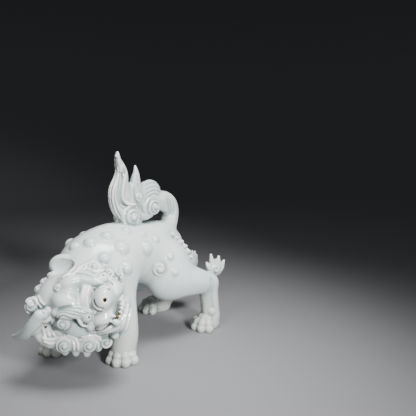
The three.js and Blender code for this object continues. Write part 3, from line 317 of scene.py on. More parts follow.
# Each leaf's tip, back and up, and its joints: share of the way, height or share of it, half width and
# half thickness
LEAVES = ((-11, 20), (-5, 30), (6.5, 26.5), (14, 20))
LEAF_ROOT = (0.2, 6, 4, 4)
LEAF_MIDDLE = (0.65, 0.55, 5, 4.2)
LEAF_TIP = (1.8, 1.8)
LEAF = dict(ridges=2, depth=0.7)
LEAF_MELT = 0.8
# The disc that the leaves grow from, and the curl on its outer face
TUFT_DISC_AT = (1, 12)
TUFT_DISC = (12, 12, 4.5)
TUFT_DISC_MELT = 1.5
TUFT_CURL_AT = (0, 10)
TUFT_CURL_OUT = 2.5
TUFT_CURL = dict(radius=7.5, height=4.5, depth=2)

# Ring of the mane round the face: place on the head and radius
MANE = ((-30, 8, -36, 7), (-36, 6, -23, 8.5), (-40, 3, -8, 8.5), (-39, -1, 9, 8), (-31, -4, 26, 7.5),
        (-15, -6, 36, 7.5), (3, -8, 37, 6), (19, -8, 33, 6), (32, -6, 20, 7), (36, -4, 7, 7),
        (32, 2, -6, 7), (31, 3, -20, 7.5), (29, 5, -32, 7))
MANE_MELT = 4
JOWL = ((-33, -5, 28.5, 5), (-38.5, -3, 25.5, 5.5), (-42.3, -2, 20.5, 5.5), (-44, 0, 12, 6))
JOWL_MELT = 2
# Curls on it: place, radius and the way each one faces
CURLS = ((-33, 12.5, -38, 6.5, -0.5, 0.85, -0.2), (-39.5, 10.5, -23.5, 8.6, -0.6, 0.8, -0.05),
         (-46, 5, -12.5, 4, -0.7, 0.7, 0), (-44.5, 6.5, -1.5, 8.5, -0.6, 0.8, 0),
         (-41.5, 1.5, 12, 8.5, -0.65, 0.75, 0.1), (-24, 12.5, 25.5, 8, -0.4, 0.85, 0.3),
         (-15.5, 1, 40.5, 8.5, -0.2, 0.85, 0.5), (2.5, -2, 41.5, 5.5, 0, 0.6, 0.8),
         (11, -1, 39.5, 5, 0.1, 0.6, 0.8), (19.5, 1, 35.5, 4.5, 0.3, 0.6, 0.7),
         (44, -4, 9, 6.5, 0.6, 0.8, 0.1), (38, 6, -3, 5.5, 0.5, 0.85, 0), (37.5, 6, -11, 5.5, 0.5, 0.85, 0),
         (36.5, 6, -22, 8, 0.5, 0.85, 0), (34, 9, -34, 6.5, 0.5, 0.85, -0.2),
         (33, 22, -3.5, 7.5, 0.1, 0.95, 0.3), (31, 26, -19, 5.5, 0.3, 0.9, -0.2),
         (36, 17.5, -29, 6, 0.4, 0.9, -0.3))
# A curl's height against its radius. The biggest ones wind further in.
CURL_HEIGHT = 0.62
CURL_MELT = 0.8
CURL_TURNS = 1.6
BIG_CURL = 8.2
BIG_CURL_TURNS = 2.2
# The bead at a curl's middle: its radius against the curl's, and how much of that lies sunk
SNAIL_BEAD = 0.22
SNAIL_BEAD_SUNK = 0.55
SNAIL_BEAD_MELT = 0.4
# Strands of hair on the head: places and radii, and how far they stand out
STRAND_HEIGHT = 1.5
STRANDS = (
    ((-17.7, 2.9, 44.1, 0.9), (-13.3, 4.1, 45.4, 1.5), (-9.7, 4.6, 43.1, 1.6), (-10.4, 6.4, 39.5, 1.6),
     (-14.2, 8, 36.1, 1.5), (-16.7, 9.7, 31.5, 1)),
    ((-14, 0.5, 47.5, 0.9), (-9, 1, 47, 1.5), (-6, 3, 43.5, 1.6), (-6.8, 7, 38.5, 1.6),
     (-11.4, 10, 33.6, 1.5), (-14, 12.4, 29, 1)),
    ((-17.5, 15.1, 26.5, 0.9), (-19.9, 15.8, 19.5, 1.5), (-24.7, 13.8, 16.5, 1.5), (-29, 10, 17.5, 0.9)),
    ((-33.9, 4.2, 22.9, 1.3), (-37.4, 4.3, 20.9, 1.8), (-41.6, 4.2, 18.4, 1.3)),
    ((-32.4, 5, 20, 1.3), (-36, 5.3, 17.6, 1.8), (-40, 6.4, 14.8, 1.3)),
    ((-30.9, 5.3, 17.5, 1.3), (-33.9, 5.4, 14.7, 1.8), (-38.2, 7.7, 12.1, 1.3)),
    ((12.5, 27, 22, 0.8), (20.9, 24.8, 16.4, 1.3), (27.7, 22, 11.2, 1.4), (34, 22.4, 5.5, 1.3),
     (38, 21, -2, 0.9)),
    ((14, 28.5, 18, 0.8), (20, 27.5, 12.5, 1.3), (25.5, 25.5, 8, 1.4), (30, 24.5, 5, 1)),
    ((-43.1, 2.9, 20, 0.9), (-43.6, 6.2, 13.5, 1.4), (-40.5, 8.4, 7.5, 1.2), (-37.5, 11, 2.5, 0.8)),
    ((-45.6, 3.3, 17.5, 0.9), (-46, 5, 10.5, 1.4), (-43, 8.6, 5.4, 1.2), (-38.9, 11.6, 0.5, 0.8)),
    ((-38, 11, 1.5, 0.8), (-38.7, 12.3, -4.5, 1.3), (-42, 11.1, -9.3, 1.3), (-46.8, 8.2, -11.2, 0.8)),
    ((-36, 12.5, -1.5, 0.8), (-36.5, 13.4, -7.5, 1.3), (-40.6, 12.2, -12.4, 1.3), (-45.4, 8.6, -15, 0.8)),
    ((-38.3, 15, -13.5, 0.8), (-34.9, 16.8, -19.7, 1.4), (-34, 15.9, -26, 1.4), (-37, 14.3, -31.3, 1),
     (-41, 11, -33, 0.7)),
    ((-34.6, 16.5, -14, 0.8), (-31.7, 17, -20.2, 1.4), (-30.3, 16, -27.4, 1.4), (-33, 15.5, -32.6, 0.9)),
    ((31, 20.5, 4.5, 0.8), (28.5, 24, -1.5, 1.4), (29.3, 23.5, -9, 1.4), (33, 21, -14, 0.8)),
    ((24.6, 29, -14.5, 0.8), (23.3, 28, -21, 1.4), (26.5, 22, -27.5, 1.4), (31, 17, -30.5, 0.8)),
    ((3.5, 33, -46.5, 0.8), (-6.6, 33, -48, 1.3), (-15.7, 30.5, -49, 1.3), (-21, 26.5, -46.8, 0.8)),
    ((1, 27, -50.5, 0.8), (-6.1, 26, -52.1, 1.3), (-13, 24.5, -52.6, 1.3), (-18.9, 20.5, -51.7, 0.8)),
)
# Scallops along the edge of the beard and mane: place and radius
SCALLOPS = ((-38.5, 6, -33, 4), (-45, 3, -24, 4.5), (-46.5, 0, -14, 4.5), (-48, -1, -4, 4.5),
            (-45.5, -4, 6, 4.5))
SCALLOP_THICK = 0.9
SCALLOP_MELT = 1.5
# The collar of curls behind the head: degrees round it, the ring's radius and place, and its curls
COLLAR = range(-70, 251, 29)
COLLAR_RADIUS = 38
COLLAR_BEHIND = -17
COLLAR_DROP = 2
COLLAR_LEAN = 0.1
COLLAR_CURL = dict(radius=9.5, height=7, depth=1.5)
COLLAR_MELT = 2


# Vectors


def vec(v):
    return np.asarray(v, np.float32)


def unit(v):
    return vec(v) / np.linalg.norm(vec(v))


def heading(degrees):
    """The way round by degrees from -Y towards +X, level with the ground."""
    t = math.radians(degrees)
    return vec((math.sin(t), -math.cos(t), 0))


UP = vec((0, 0, 1))
SIDE = vec((1, 0, 0))

# The head's own frame. Places on the head are left, forward (out of the face) and crown.
HEAD = vec((25, -87.5, 78))
FORWARD = unit((0.7316, -0.366, 0.5751))
CROWN = vec((-0.6246, -0.698, 0.3503))
CROWN = unit(CROWN - (CROWN @ FORWARD) * FORWARD)
LEFT = np.cross(CROWN, FORWARD)
HEAD_AXES = vec([LEFT, FORWARD, CROWN])


def head(left, forward, crown, *sizes):
    """A place on the head, with any sizes that follow it."""
    return (*(HEAD + left * LEFT + forward * FORWARD + crown * CROWN), *sizes)


def on_head(rows):
    return [head(*row) for row in rows]


def head_way(left, forward, crown):
    return unit(left * LEFT + forward * FORWARD + crown * CROWN)


def smooth(rows, count):
    """A smooth curve through rows of numbers, as count rows."""
    p = vec(rows)
    p = np.vstack([2 * p[0] - p[1], p, 2 * p[-1] - p[-2]])
    t = np.linspace(0, len(rows) - 1, count)
    i = np.minimum(t.astype(int), len(rows) - 2)
    f = (t - i)[:, None].astype(np.float32)
    a, b, c, d = p[i], p[i + 1], p[i + 2], p[i + 3]
    bend = (2 * a - 5 * b + 4 * c - d) * f ** 2 + (3 * b - a - 3 * c + d) * f ** 3
    return 0.5 * (2 * b + (c - a) * f + bend)


# Shapes: the corners of a box, and a function that gives the distance of points from the skin

# In radii of a curl: the bead left at its middle, and the width over which the groove sets in
CURL_BEAD = 0.12
CURL_BEAD_FADE = 0.2
# A round groove's width, and where it sets in over a plate's middle
RING_WIDTH = 1.1
RING_FROM = 1.5
RING_FADE = 3
# The thinnest that a limb gets, and a lock's half width and thickness
THIN_LIMB = 0.2
THIN_LOCK = 0.3
FAR = 1e3
TINY = 1e-6


class Shape:
    def __init__(self, low, high, dist):
        self.low = vec(low)
        self.high = vec(high)
        self.dist = dist


def beyond(q, radii):
    """How far outside an ellipsoid points lie, nearly. The points are given in shares of its radii."""
    near = np.sqrt((q * q).sum(-1))
    q = q / radii
    return near * (near - 1) / np.maximum(np.sqrt((q * q).sum(-1)), TINY)


def blob(centre, radii, axes=np.eye(3)):
    """An ellipsoid with its radii along three axes."""
    c = vec(centre)
    r = vec(radii)
    m = vec(axes)
    reach = np.sqrt(((m * r[:, None]) ** 2).sum(0))
    return Shape(c - reach, c + reach, lambda p: beyond((p - c) @ m.T / r, r))


def limb(rows, count):
    """A round limb with count places along it. Rows are x, y, z, radius."""
    line = smooth(rows, count)
    c = line[:, :3]
    r = np.maximum(line[:, 3], THIN_LIMB)

    def dist(p):
        best = np.full(p.shape[:-1], FAR, np.float32)
        for a, b, ra, rb in zip(c[:-1], c[1:], r[:-1], r[1:]):
            span = b - a
            t = np.clip(((p - a) @ span) / float(span @ span), 0, 1)
            q = p - a - t[..., None] * span
            np.minimum(best, np.sqrt((q * q).sum(-1)) - (ra + t * (rb - ra)), out=best)
        return best

    return Shape((c - r[:, None]).min(0), (c + r[:, None]).max(0), dist)


def ball(centre, radius):
    return blob(centre, (radius,) * 3)


def curl(centre, facing, radius, height, turns=CURL_TURNS, depth=1.2, start=UP, hand=1):
    """A domed lock of hair with a groove that winds in to a small round centre."""
    n = unit(facing)
    u = unit(vec(start) - (vec(start) @ n) * n)
    axes = vec([u, np.cross(n, u), n])
    dome = blob(centre, (radius, radius, height), axes)
    c = vec(centre)

    def dist(p):
        q = (p - c) @ axes[:2].T
        out = np.sqrt((q * q).sum(-1)) / radius
        wave = np.cos(2 * np.pi * out * turns - np.arctan2(q[..., 1], q[..., 0]) * hand)
        outside_bead = np.clip((out - CURL_BEAD) / CURL_BEAD_FADE, 0, 1)
        return dome.dist(p) + depth * (0.5 - 0.5 * wave) * outside_bead

    return Shape(dome.low, dome.high, dist)


def lock(rows, flat, count, ridges=0, depth=0):
    """A flat lock along a curve, its thickness along flat, with ridges down it.

    Rows are x, y, z, half width, half thickness.
    """
    line = smooth(rows, count)
    c = line[:, :3]
    wide = np.maximum(line[:, 3], THIN_LOCK)
    thick = np.maximum(line[:, 4], THIN_LOCK)
    flat = vec(flat)

    def dist(p):
        best = np.full(p.shape[:-1], FAR, np.float32)
        across = np.zeros_like(best)
        for i in range(len(c) - 1):
            span = c[i + 1] - c[i]
            along = unit(span)
            side = unit(np.cross(flat, along))
            axes = vec([side, np.cross(along, side), along])
            t = np.clip(((p - c[i]) @ span) / float(span @ span), 0, 1)
            q = (p - c[i] - t[..., None] * span) @ axes.T
            w = wide[i] + t * (wide[i + 1] - wide[i])
            h = thick[i] + t * (thick[i + 1] - thick[i])
            radii = np.stack([w, h, np.minimum(w, h)], -1)
            q /= radii
            d = beyond(q, radii)
            closer = d < best
            best = np.where(closer, d, best)
            across = np.where(closer, q[..., 0], across)
        if ridges:
            phase = across * ridges / 2 + (0 if ridges % 2 else 0.5)
            best = best + depth * (0.5 - 0.5 * np.cos(2 * np.pi * phase))
        return best

    reach = np.maximum(wide, thick)[:, None]
    return Shape((c - reach).min(0), (c + reach).max(0), dist)


def around(p, centre, facing):
    """How far points lie along a direction from a centre, and how far out from that line."""
    q = p - vec(centre)
    along = q @ unit(facing)
    return along, np.sqrt(np.maximum((q * q).sum(-1) - along * along, 0))


def ring(centre, facing, radius, thick):
    """A round ring that lies flat on the skin."""
    def dist(p):
        along, out = around(p, centre, facing)
        return np.hypot(out - radius, along) - thick

    return Shape(vec(centre) - radius - thick, vec(centre) + radius + thick, dist)


def ringed(shape, centre, rings, facing, depth):
    """A shape with round grooves about a centre on both of its flat sides."""
    def dist(p):
        along, out = around(p, centre, facing)
        lines = np.max([np.exp(-((out - r) / RING_WIDTH) ** 2) for r in rings], axis=0)
        return shape.dist(p) + depth * lines * np.clip((np.abs(along) - RING_FROM) / RING_FADE, 0, 1)

    return Shape(shape.low, shape.high, dist)


# How far from a shape the field is worked out where it is added or cut, and what it holds elsewhere
REACH = 10
CUT_REACH = 1
NOTHING = 30
# Steps out along a ray to the skin, and the reaches over which the skin's slope is read
RAY = np.arange(0, 200, 0.4, dtype=np.float32)[:, None]
RAY_SLOPE = 2
LINE_SLOPE = 1.2
# A line drawn on the skin: steps, rounds of drawing it in, and melts where it is raised or cut
STROKE_STEPS = 14
DRAW_IN = 3
STRAND_MELT = 0.7
SCORE_MELT = 0.5


class Clay:
    """A field that is negative inside. What is added or cut melts into the rest over a length."""

    def __init__(self, low, high, step):
        self.low = vec(low)
        self.step = step
        self.count = np.ceil((np.asarray(high) - self.low) / step).astype(int) + 1
        self.field = np.full(self.count, NOTHING, np.float32)

    def near(self, shape, margin):
        """The part of the grid round a shape, and the places of its points."""
        first = np.clip(np.floor((shape.low - margin - self.low) / self.step).astype(int), 0, self.count)
        last = np.clip(np.ceil((shape.high + margin - self.low) / self.step).astype(int) + 1, 0, self.count)
        where = tuple(slice(int(a), int(b)) for a, b in zip(first, last))
        rows = [self.low[i] + self.step * np.arange(first[i], last[i], dtype=np.float32) for i in range(3)]
        return where, np.stack(np.meshgrid(*rows, indexing="ij"), -1)

    def add(self, shape, melt, way=1):
        """Adds a shape, or cuts it out where the way is -1."""
        where, p = self.near(shape, max(REACH, melt) if way > 0 else melt + CUT_REACH)
        d = shape.dist(p)
        f = way * self.field[where]
        h = np.maximum(melt - np.abs(f - d), 0)
        self.field[where] = way * (np.minimum(f, d) - h * h / (4 * melt))

    def cut(self, shape, melt):
        self.add(shape, melt, -1)

    def level(self):
        """Nothing is left below the ground."""
        z = self.low[2] + self.step * np.arange(self.count[2], dtype=np.float32)
        self.field = np.maximum(self.field, -z)

    def sample(self, points):
        """The field at rows of points."""
        q = (vec(points).reshape(-1, 3) - self.low) / self.step
        i = np.clip(np.floor(q).astype(int), 0, self.count - 2)
        f = q - i
        total = np.zeros(len(q), np.float32)
        for corner in np.ndindex(2, 2, 2):
            share = np.prod(np.where(corner, f, 1 - f), axis=1)
            total += share * self.field[tuple((i + corner).T)]
        return total

    def facing(self, points, reach):
        """Which way the skin faces near each of some points."""
        steps = reach * np.eye(3, dtype=np.float32)
        slope = np.stack([self.sample(points + e) - self.sample(points - e) for e in steps], -1)
        return slope / np.maximum(np.linalg.norm(slope, axis=1, keepdims=True), TINY)

    def line_on_skin(self, rows, count):
        """A smooth line through rows, drawn in to the skin, and how the skin faces along it."""
        line = smooth(rows, count)
        for _ in range(DRAW_IN):
            facing = self.facing(line[:, :3], LINE_SLOPE)
            line[:, :3] -= self.sample(line[:, :3])[:, None] * facing
        return line, facing

    def strand(self, rows, height):
        """A raised strand that lies along the skin. Rows are x, y, z, radius."""
        line, facing = self.line_on_skin(rows, STROKE_STEPS)
        line[:, :3] += (height - line[:, 3:]) * facing
        self.add(limb(line, len(line)), STRAND_MELT)

    def score(self, rows, depth, melt=SCORE_MELT, count=STROKE_STEPS):
        """A round-bottomed line cut along the skin. Rows are x, y, z, radius."""
        line, facing = self.line_on_skin(rows, count)
        line[:, :3] += (line[:, 3:] - depth) * facing
        self.cut(limb(line, len(line)), melt)

    def skin(self, start, way):
        """Where the skin is met on the way out from a point, and which way the skin faces there."""
        line = vec(start) + RAY * unit(way)
        p = line[np.argmax(self.sample(line) >= 0)]
        return p, self.facing(p[None], RAY_SLOPE)[0]

    def mesh(self):
        """A vertex in each grid cell that the skin passes through, a quad across each grid edge."""
        f = self.field
        s = f < 0
        size = np.array(f.shape) - 1
        corners = list(np.ndindex(2, 2, 2))

        def part(a, c):
            return a[c[0]:c[0] + size[0], c[1]:c[1] + size[1], c[2]:c[2] + size[2]]

        inside = sum(part(s, c).astype(np.int8) for c in corners)
        mixed = (inside > 0) & (inside < 8)
        cells = np.argwhere(mixed)
        index = np.full(mixed.shape, -1, np.int32)
        index[mixed] = np.arange(len(cells))
        value = {c: f[tuple((cells + c).T)].astype(np.float64) for c in corners}
        total = np.zeros((len(cells), 3))
        hits = np.zeros(len(cells))
        for a in corners:
            for b in corners:
                if sum(b) != sum(a) + 1 or any(q < p for p, q in zip(a, b)):
                    continue
                crossed = (value[a] < 0) != (value[b] < 0)
                t = np.where(crossed, value[a] / np.where(crossed, value[a] - value[b], 1), 0)
                at = np.array(a) + t[:, None] * (np.array(b) - np.array(a))
                total += np.where(crossed[:, None], at, 0)
                hits += crossed
        verts = self.low + self.step * (cells + total / hits[:, None])
        quads = []
        for axis in range(3):
            u, v = (axis + 1) % 3, (axis + 2) % 3
            first = [slice(1, -1)] * 3
            first[axis] = slice(0, -1)
            second = list(first)
            second[axis] = slice(1, None)
            a, b = s[tuple(first)], s[tuple(second)]
            for turned, mask in ((False, a & ~b), (True, ~a & b)):
                at = np.argwhere(mask)
                at[:, [u, v]] += 1
                quad = []
                for du, dv in ((1, 1), (0, 1), (0, 0), (1, 0)):
                    cell = at.copy()
                    cell[:, u] -= du
                    cell[:, v] -= dv
                    quad.append(index[tuple(cell.T)])
                quads.append(np.stack(quad[::-1] if turned else quad, -1))
        return verts, np.vstack(quads)


# The figure


def lumps(clay, rows):
    """Rounded lumps on the head. Rows are place, radii, melt."""
    for place, radii, melt in rows:
        clay.add(blob(head(*place), radii, HEAD_AXES), melt)


def mirrored(rows, side):
    """Rows that start with a distance to the left, on one side or the other."""
    return [(side * left, *rest) for left, *rest in rows]


def mirrored_lumps(rows, side):
    return [(*mirrored([place], side), *rest) for place, *rest in rows]


def bead(clay, rows, melt, count=10):
    """A round strand on the head. Rows are place and radius."""
    clay.add(limb(on_head(rows), count), melt)


def groove(clay, rows, melt, count=10):
    clay.cut(limb(on_head(rows), count), melt)


def snail(clay, centre, facing, radius, height, melt, turns=CURL_TURNS, depth=1.5, start=UP, hand=1):
    """A curl with a round bead at its middle."""
    clay.add(curl(centre, facing, radius, height, turns, depth, start, hand), melt)
    r = SNAIL_BEAD * radius
    place = np.asarray(centre) + (height - SNAIL_BEAD_SUNK * r) * np.asarray(facing)
    clay.add(ball(place, r), SNAIL_BEAD_MELT)


def trunk(clay):
    for rows, count, melt in BODY:
        clay.add(limb(rows, count), melt)


def with_radii(joints, radii):
    return [(*joint, radius) for joint, radius in zip(joints, radii)]


def beside(joints, steps, side):
    """Rows beside joints. Steps are out, back, up and radius, and side is 1 on the left, -1 on the right."""
    moved = [np.add(joint, (side * out, back, up)) for joint, (out, back, up, _) in zip(joints, steps)]
    return with_radii(moved, [step[-1] for step in steps])


def hind_leg(clay, haunch, stifle, hock, heel, paw, points):
    x, y, z = haunch
    times, back, up = THIGH
    shank = np.add(hock, heel) / 2
    rows = with_radii(((x * times, y + back, z + up), stifle, hock, shank, heel), HIND_RADII)
    clay.add(blob(haunch, HAUNCH), HAUNCH_MELT)
    clay.add(limb(rows[:3], 20), LEG_MELT)
    clay.add(limb(rows[2:], 8), SHANK_MELT)
    side = math.copysign(1, x)
    joints = (hock, shank, heel)
    clay.add(limb(beside(joints, TENDON, side), 6), SOFT)
    back, height = HEEL_PAD_AT
    clay.add(blob((heel[0], heel[1] + back, height), HEEL_PAD), SOFT)
    clay.score(beside(joints, GROOVE, side), GROOVE_DEPTH, SOFT)
    *ankle, radius = beside([heel], [ANKLE], side)[0]
    clay.add(ball(ankle, radius), ANKLE_MELT)
    make_paw(clay, paw, points)


def front_leg(clay, shoulder, elbow, wrist, paw, points):
    clay.add(blob(shoulder, SHOULDER), SHOULDER_MELT)
    joints = (shoulder, elbow, wrist, (*paw, FRONT_RADII[-1]))
    clay.add(limb(with_radii(joints, FRONT_RADII), 10), LEG_MELT)
    make_paw(clay, paw, points)


def make_paw(clay, place, points):
    """A pad with four bent toes of three knuckles, each with a short claw."""
    middle = vec((*place, 0))
    clay.add(blob(middle + PAD_HEIGHT * UP - PAD_BACK * heading(points), PAD_RADII), PAD_MELT)
    for step in TOES:
        way = heading(points + step * TOE_SPREAD)

        def at(out, up):
            return middle + out * way + up * UP

        waist = TOE_RADIUS * TOE_WAIST
        bend = [(*at(TOE_REACH * out, up), waist) for out, up in TOE_BEND]
        clay.add(limb(bend, 8), TOE_MELT)
        for out, up in KNUCKLES:
            clay.add(ball(at(TOE_REACH * out, up), TOE_RADIUS * KNUCKLE_SIZE), CRISP)
        tip = TOE_REACH + TOE_RADIUS
        clay.add(limb([(*at(tip + out, up), radius) for out, up, radius in CLAW], 5), CRISP)


def bosses(clay):
    """Bosses and the thigh's whorl and fringe. All are placed on the bare body before any is added."""
    spine = sorted((y, z) for _, y, z, _ in TRUNK)
    found = []

    def flank(station, degrees):
        t = math.radians(degrees)
        z = np.interp(np.clip(station, *SPINE_ENDS), *zip(*spine))
        return clay.skin((0, station, z), (math.sin(t), 0, math.cos(t)))

    for side in (1, -1):
        for station, angle, radius in BOSSES:
            if side < 0:
                if angle < SPINE_ANGLE:
                    continue
                station += RIGHT_BOSS_BACK
                angle = -(RIGHT_BOSS_DROP + RIGHT_BOSS_SQUEEZE * angle)
            p, n = flank(station, angle)
            found.append((ball(p - BOSS_SUNK * radius * n, BOSS_SPREAD * radius), BOSS_MELT))
        p, n = flank(WHORL_STATION, WHORL_ANGLE * side)
        found.append((curl(p - WHORL_SUNK * n, n, hand=side, **WHORL), BOSS_MELT))
        for k, lift in enumerate(FRINGE_LIFTS):
            level = math.radians(lift)
            out = math.sin(level) * UP + math.cos(level) * heading(180 - FRINGE_TURN)
            x, y, z = FRINGE_FROM
            p, n = clay.skin((x * side, y, z), out * (side, 1, 1))
            radius = FRINGE_RADIUS * (FRINGE_SMALL if k % 2 else 1)
            found.append((curl(p + FRINGE_PROUD * n, n, radius, hand=-side, **FRINGE), CURL_MELT))
    for shape, melt in found:
        clay.add(shape, melt)


def round_edge(rows, degrees, face):
    """A line along a flame, so many degrees round from its outer edge towards one face."""
    line = smooth(rows, RIM_LINE_STEPS)
    along = np.gradient(line[:, :3], axis=0)
    out = np.cross(SIDE, along)
    out /= np.linalg.norm(out, axis=1, keepdims=True)
    turn = math.radians(degrees)
    wide, thick = line[:, 3:4], line[:, 4:5]
    place = line[:, :3] + math.cos(turn) * wide * out + face * math.sin(turn) * thick * SIDE
    return np.hstack([place, np.full((RIM_LINE_STEPS, 1), RIM_LINE_RADIUS)])


def on_face(rows, face):
    """Rows of y, z, radius put just outside one face of the tail."""
    return [(face * TAIL_THICK, y, z, radius) for y, z, radius in rows]


def tail(clay):
    clay.add(limb(STEM, 18), TAIL_MELT)
    for web in WEBS:
        clay.add(limb(web, 8), TAIL_MELT)
    fan = blob(FAN_CENTRE, FAN_RADII)
    clay.add(ringed(fan, FAN_RINGS_AT, FAN_RINGS, SIDE, FAN_RING_DEPTH), FAN_MELT)
    for flame, melt in FLAMES:
        clay.add(lock(flame, SIDE, FLAME_STEPS), melt)
    for s in (1, -1):
        for line, depth, melt in TAIL_CUTS:
            clay.score(on_face(line, s), depth, melt)
        clay.strand(on_face(LOBE_EDGE, s), EDGE_HEIGHT)
        for degrees in RIM_LINES:
            clay.score(round_edge(RIM[2:-1], degrees, s), RIM_LINE_DEPTH, LINE_MELT, RIM_LINE_STEPS)
        for place, hand, shape in SPIRALS:
            snail(clay, *mirrored([place], s), s * SIDE, hand=s * hand, **shape)
        for line in TAIL_LINES:
            clay.score(on_face(line, s), LINE_DEPTH, LINE_MELT)
        clay.add(ring(*mirrored([TAIL_RING_AT], s), s * SIDE, **TAIL_RING), TAIL_RING_MELT)
        clay.add(ball(*mirrored([TAIL_BEAD_AT], s), TAIL_BEAD), TAIL_BEAD_MELT)


def skull(clay):
    lumps(clay, SKULL)
    for s in (-1, 1):
        lumps(clay, mirrored_lumps(TEMPLES, s))
    place, radii, melt = DENT
    clay.cut(blob(head(*place), radii, HEAD_AXES), melt)
    place, facing, shape = FOREHEAD_CURL
    clay.add(curl(head(*place), head_way(*facing), start=CROWN, **shape), CURL_MELT)


def muzzle(clay):
    """Muzzle with its lip pads, nose and the wrinkles above it."""
    lumps(clay, MUZZLE)
    for s in (-1, 1):
        for rows, melt in NOSE_GROOVES:
            groove(clay, mirrored(rows, s), melt)
    for rows, melt, count in NOSTRILS:
        groove(clay, rows, melt, count)
    for ahead, up in FOLDS:
        fold = [(left, forward + ahead, crown + up, radius) for left, forward, crown, radius in FOLD_LINE]
        bead(clay, fold, FOLD_MELT)


def eyes(clay):
    """Eyes with lids under brows that end in a curl."""
    for s, eye in ((-1, RIGHT_EYE), (1, LEFT_EYE)):
        socket = np.add(eye["ball"], mirrored([SOCKET_BEYOND], s)[0])
        clay.cut(blob(head(*socket), SOCKET_RADII, HEAD_AXES), SOCKET_MELT)
        lumps(clay, [(eye["ball"], (eye["size"],) * 3, BALL_MELT)])
        groove(clay, eye["pupil"], PUPIL_MELT, 2)
        bead(clay, eye["lid"], LID_MELT)
        lumps(clay, mirrored_lumps([EYE_BAG], s))
        clay.add(lock(on_head(eye["brow"]), FORWARD, 24), BROW_MELT)
        facing = head_way(*mirrored([BROW_CURL_FACING], s)[0])
        snail(clay, head(*eye["end"]), facing, start=CROWN, hand=s, **BROW_CURL)
    for flute in BROW_FLUTES:
        clay.score(on_head(flute), FLUTE_DEPTH)


def jaw(clay):
    """Lower jaw, the mouth open on the right side only, teeth and beard."""
    lumps(clay, JAW)
    clay.add(lock(on_head(LIP), CROWN, 16), LIP_MELT)
    clay.add(lock(on_head(BEARD), head_way(*BEARD_FACING), 14), BEARD_MELT)
    clay.cut(lock(on_head(SLOT), CROWN, 18), SLOT_MELT)
    lumps(clay, [(tooth, TOOTH_RADII, TOOTH_MELT) for tooth in TEETH])
    for rows, melt, count in FANGS:
        bead(clay, rows, melt, count)
    lumps(clay, [CHIN_BEAD])


def ears(clay):
    """The right ear sweeps back to a point like a horn. The left one is a cup, open to the front."""
    clay.add(lock(on_head(RIGHT_EAR), head_way(*RIGHT_EAR_FACING), 18), RIGHT_EAR_MELT)
    way = unit(CUP_WAY)
    across = unit(CUP_ACROSS)
    axes = np.array([across, np.cross(way, across), way])
    place = np.array(head(*CUP_PLACE))
    for work, (moved, radii, melt) in ((clay.add, CUP), (clay.cut, DISH)):
        place = place + np.array(moved) @ axes
        work(blob(place, radii, axes), melt)


def mane(clay):
    """The curls and strands round the face, and the collar of curls behind the head."""
    clay.add(limb(on_head(MANE), 40), MANE_MELT)
    bead(clay, JOWL, JOWL_MELT)
    for left, forward, crown, radius, *facing in CURLS:
        turns = BIG_CURL_TURNS if radius > BIG_CURL else CURL_TURNS
        hand = 1 if left < 0 else -1
        snail(clay, head(left, forward, crown), head_way(*facing), radius, radius * CURL_HEIGHT, CURL_MELT,
              turns, start=CROWN, hand=hand)
    for *place, radius in SCALLOPS:
        lumps(clay, [(place, (radius, radius, radius * SCALLOP_THICK), SCALLOP_MELT)])
    for k, degrees in enumerate(COLLAR):
        t = math.radians(degrees)
        left, crown = math.cos(t), math.sin(t)
        place = head(COLLAR_RADIUS * left, COLLAR_BEHIND, COLLAR_RADIUS * crown - COLLAR_DROP)
        facing = head_way(left, COLLAR_LEAN, crown)
        clay.add(curl(place, facing, start=FORWARD, hand=1 if k % 2 else -1, **COLLAR_CURL), COLLAR_MELT)
    for line in STRANDS:
        clay.strand(on_head(line), STRAND_HEIGHT)


def tuft(clay, base, splay):
    """A small fan of four pointed leaves round a curl."""
    back = heading(180 - splay)
    side = np.cross(back, UP)

    def at(out, up):
        return np.asarray(base) + out * back + up * UP

    clay.add(blob(at(*TUFT_DISC_AT), TUFT_DISC, (back, UP, side)), TUFT_DISC_MELT)
    root_share, root_height, *root = LEAF_ROOT
    share, rise, *middle = LEAF_MIDDLE
    for out, up in LEAVES:
        leaf = ((*at(out * root_share, root_height), *root), (*at(out * share, up * rise), *middle),
                (*at(out, up), *LEAF_TIP))
        clay.add(lock(leaf, side, 8, **LEAF), LEAF_MELT)
    outer = side * np.sign(splay)
    clay.add(curl(at(*TUFT_CURL_AT) + TUFT_CURL_OUT * outer, outer, **TUFT_CURL), CURL_MELT)


def sculpt():
    clay = Clay(LOW, HIGH, GRID)
    trunk(clay)
    hind_leg(clay, **HIND_LEFT)
    hind_leg(clay, **HIND_RIGHT)
    front_leg(clay, **FRONT_LEFT)
    front_leg(clay, **FRONT_RIGHT)
    for form in (bosses, tail, skull, muzzle, eyes, jaw, ears, mane):
        form(clay)
    for base, splay in TUFTS:
        tuft(clay, base, splay)
    clay.level()
    return clay


# Mesh


def into_scene(name, data):
    thing = bpy.data.objects.new(name, data)
    bpy.context.scene.collection.objects.link(thing)
    return thing


def to_object(name, verts, quads):
    """A smooth mesh object from rows of millimetres and quads, moved to the part's own frame."""
    mesh = bpy.data.meshes.new(name)
    verts = (verts - (*PLAN_CENTRE, 0)) * MM
    mesh.vertices.add(len(verts))
    mesh.vertices.foreach_set("co", verts.astype(np.float32).ravel())
    mesh.loops.add(quads.size)
    mesh.loops.foreach_set("vertex_index", quads.astype(np.int32).ravel())
    mesh.polygons.add(len(quads))
    mesh.polygons.foreach_set("loop_start", np.arange(0, quads.size, 4, dtype=np.int32))
    mesh.polygons.foreach_set("loop_total", np.full(len(quads), 4, np.int32))
    mesh.update(calc_edges=True)
    mesh.validate()
    mesh.polygons.foreach_set("use_smooth", np.ones(len(mesh.polygons), bool))
    return into_scene(name, mesh)


